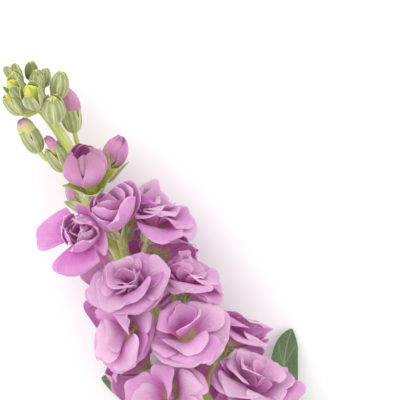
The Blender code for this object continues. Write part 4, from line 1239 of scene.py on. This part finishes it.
def makeLeaf(number):
    gathered = gather()
    rows, columns = leafShape["rows"], leafShape["columns"]
    grid = np.empty((columns, rows, 3))
    along, across = np.empty((columns, rows)), np.empty((columns, rows))
    for r in range(rows):
        t = 1.0 - (1.0 - r / (rows - 1)) ** 1.5  # rows crowd towards the tip, which is rounded
        centre, side, half, ripple = leafSection(number, t)
        half = max(half * math.sqrt(1.0 - (max(0.0, t - 0.88) / 0.12) ** 2), 0.12)
        for c in range(columns):
            u = 2.0 * c / (columns - 1) - 1.0
            fold = leafRule["fold"] * half * abs(u) - leafShape["curlDown"] * half * u ** 4
            phase = leafShape["waves"] * 2 * math.pi * t + 2.2 * np.sign(u) + number
            wave = leafShape["wave"] * math.sin(phase)
            wave *= u * u * smoothStep(t * 3) * smoothStep((1 - t) * 5)
            rib = leafShape["rib"] * math.exp(-(u / 0.10) ** 2) * (1.0 - 0.7 * t)
            grid[c, r] = centre + side * half * u + np.array([0.0, 0.0, fold - ripple * u + wave - rib])
            along[c, r], across[c, r] = t, u
    grid[..., 2] = np.maximum(grid[..., 2], leafShape["thick"] / 2 + 0.1)
    marks = {"along": np.tile(along.ravel(), 2), "across": np.tile(across.ravel(), 2),
             "inner": np.repeat([0.0, 1.0], columns * rows)}
    collect(gathered, thickSheet(grid, leafShape["thick"]), sheetFaces(columns, rows), marks)
    name = f"leaf_{number + 1:02}"
    return makePiece(name + "_blade", gathered, finishes["leaf"], "leaf_green", name)


floorLook = {"size": 6.0, "finish": {"Roughness": 0.9, "Base Color": rgb(0.97, 0.97, 0.97)}}


def makeFloor():
    bpy.ops.mesh.primitive_plane_add(size=floorLook["size"], location=(0.0, 0.0, 0.0))
    floor = bpy.context.object
    floor.name = "floor"
    floor.data.materials.append(newFinish("floor_white", floorLook["finish"]))


lightLook = {
    "world": 1.04,
    "lights": (
        {"name": "key", "from": (-0.45, 0.55, 0.95), "size": 1.1, "watts": 5.0},
        {"name": "fill", "from": (0.8, -0.5, 0.8), "size": 1.0, "watts": 2.0},
    ),
}


def makeLights():
    world = bpy.data.worlds.new("studio")
    world.use_nodes = True
    world.node_tree.nodes["Background"].inputs["Color"].default_value = rgb(1.0, 1.0, 1.0)
    world.node_tree.nodes["Background"].inputs["Strength"].default_value = lightLook["world"]
    bpy.context.scene.world = world
    for look in lightLook["lights"]:
        light = bpy.data.lights.new(look["name"], "AREA")
        light.energy, light.size = look["watts"], look["size"]
        turn = (-Vector(look["from"])).to_track_quat("-Z", "Y").to_euler()
        addToScene(look["name"], light, look["from"], turn)


# The photograph looks square down on the flowering tip, which leans to its upper left
cameraLook = {"fromTip": (39.7, -85.5, 28.0), "roll": -30.0, "width": 165.0, "distance": 1200.0,
              "sensor": 36.0, "seesTo": 20.0}


def makeCamera():
    camera = bpy.data.cameras.new("camera")
    camera.sensor_width = cameraLook["sensor"]
    camera.lens = cameraLook["sensor"] * cameraLook["distance"] / cameraLook["width"]
    camera.clip_end = cameraLook["seesTo"]
    place = np.array(cameraLook["fromTip"]) + shift + (0.0, 0.0, cameraLook["distance"])
    turn = (0.0, 0.0, math.radians(cameraLook["roll"]))
    bpy.context.scene.camera = addToScene("camera", camera, Vector(place * mm), turn)


makeCamera()
makeLights()
makeFloor()
bpy.context.scene.view_settings.view_transform = "Standard"
print("camera, lights and floor made")

petalRing = petalRingTree()
stalkSweep = sweepTree()
finishes = {
    "bloom": petalFinish("petal_pink", petalLook["bloom"]),
    "bud": petalFinish("bud_pink", petalLook["bud"]),
    "stem": stemFinish(),
    "sepal": sepalFinish(),
    "leaf": leafFinish(),
}
print("trees and finishes made")

plan = flowerPlan()
buds = greenBudPlan()
rods = rodsOf(plan)
leafGrids = [coarseLeaf(number) for number in leafNumbers]
makeStem(plan, buds)
makeCalyces(plan)
makeGreenBuds(buds)
print("stem, calyces and green buds made")

made = {"bloom": 0, "pink_bud": 0}
for flower in plan:
    sort, make = ("bloom", makeBloom) if flower["kind"] in ("half", "bloom") else ("pink_bud", makePinkBud)
    made[sort] += 1
    make(flower, roomOf(flower, plan, rods, leafGrids), f"{sort}_{made[sort]:02}")
print(made["bloom"], "blooms and", made["pink_bud"], "pink buds made")

for number in leafNumbers:
    makeLeaf(number)
print("leaves made")
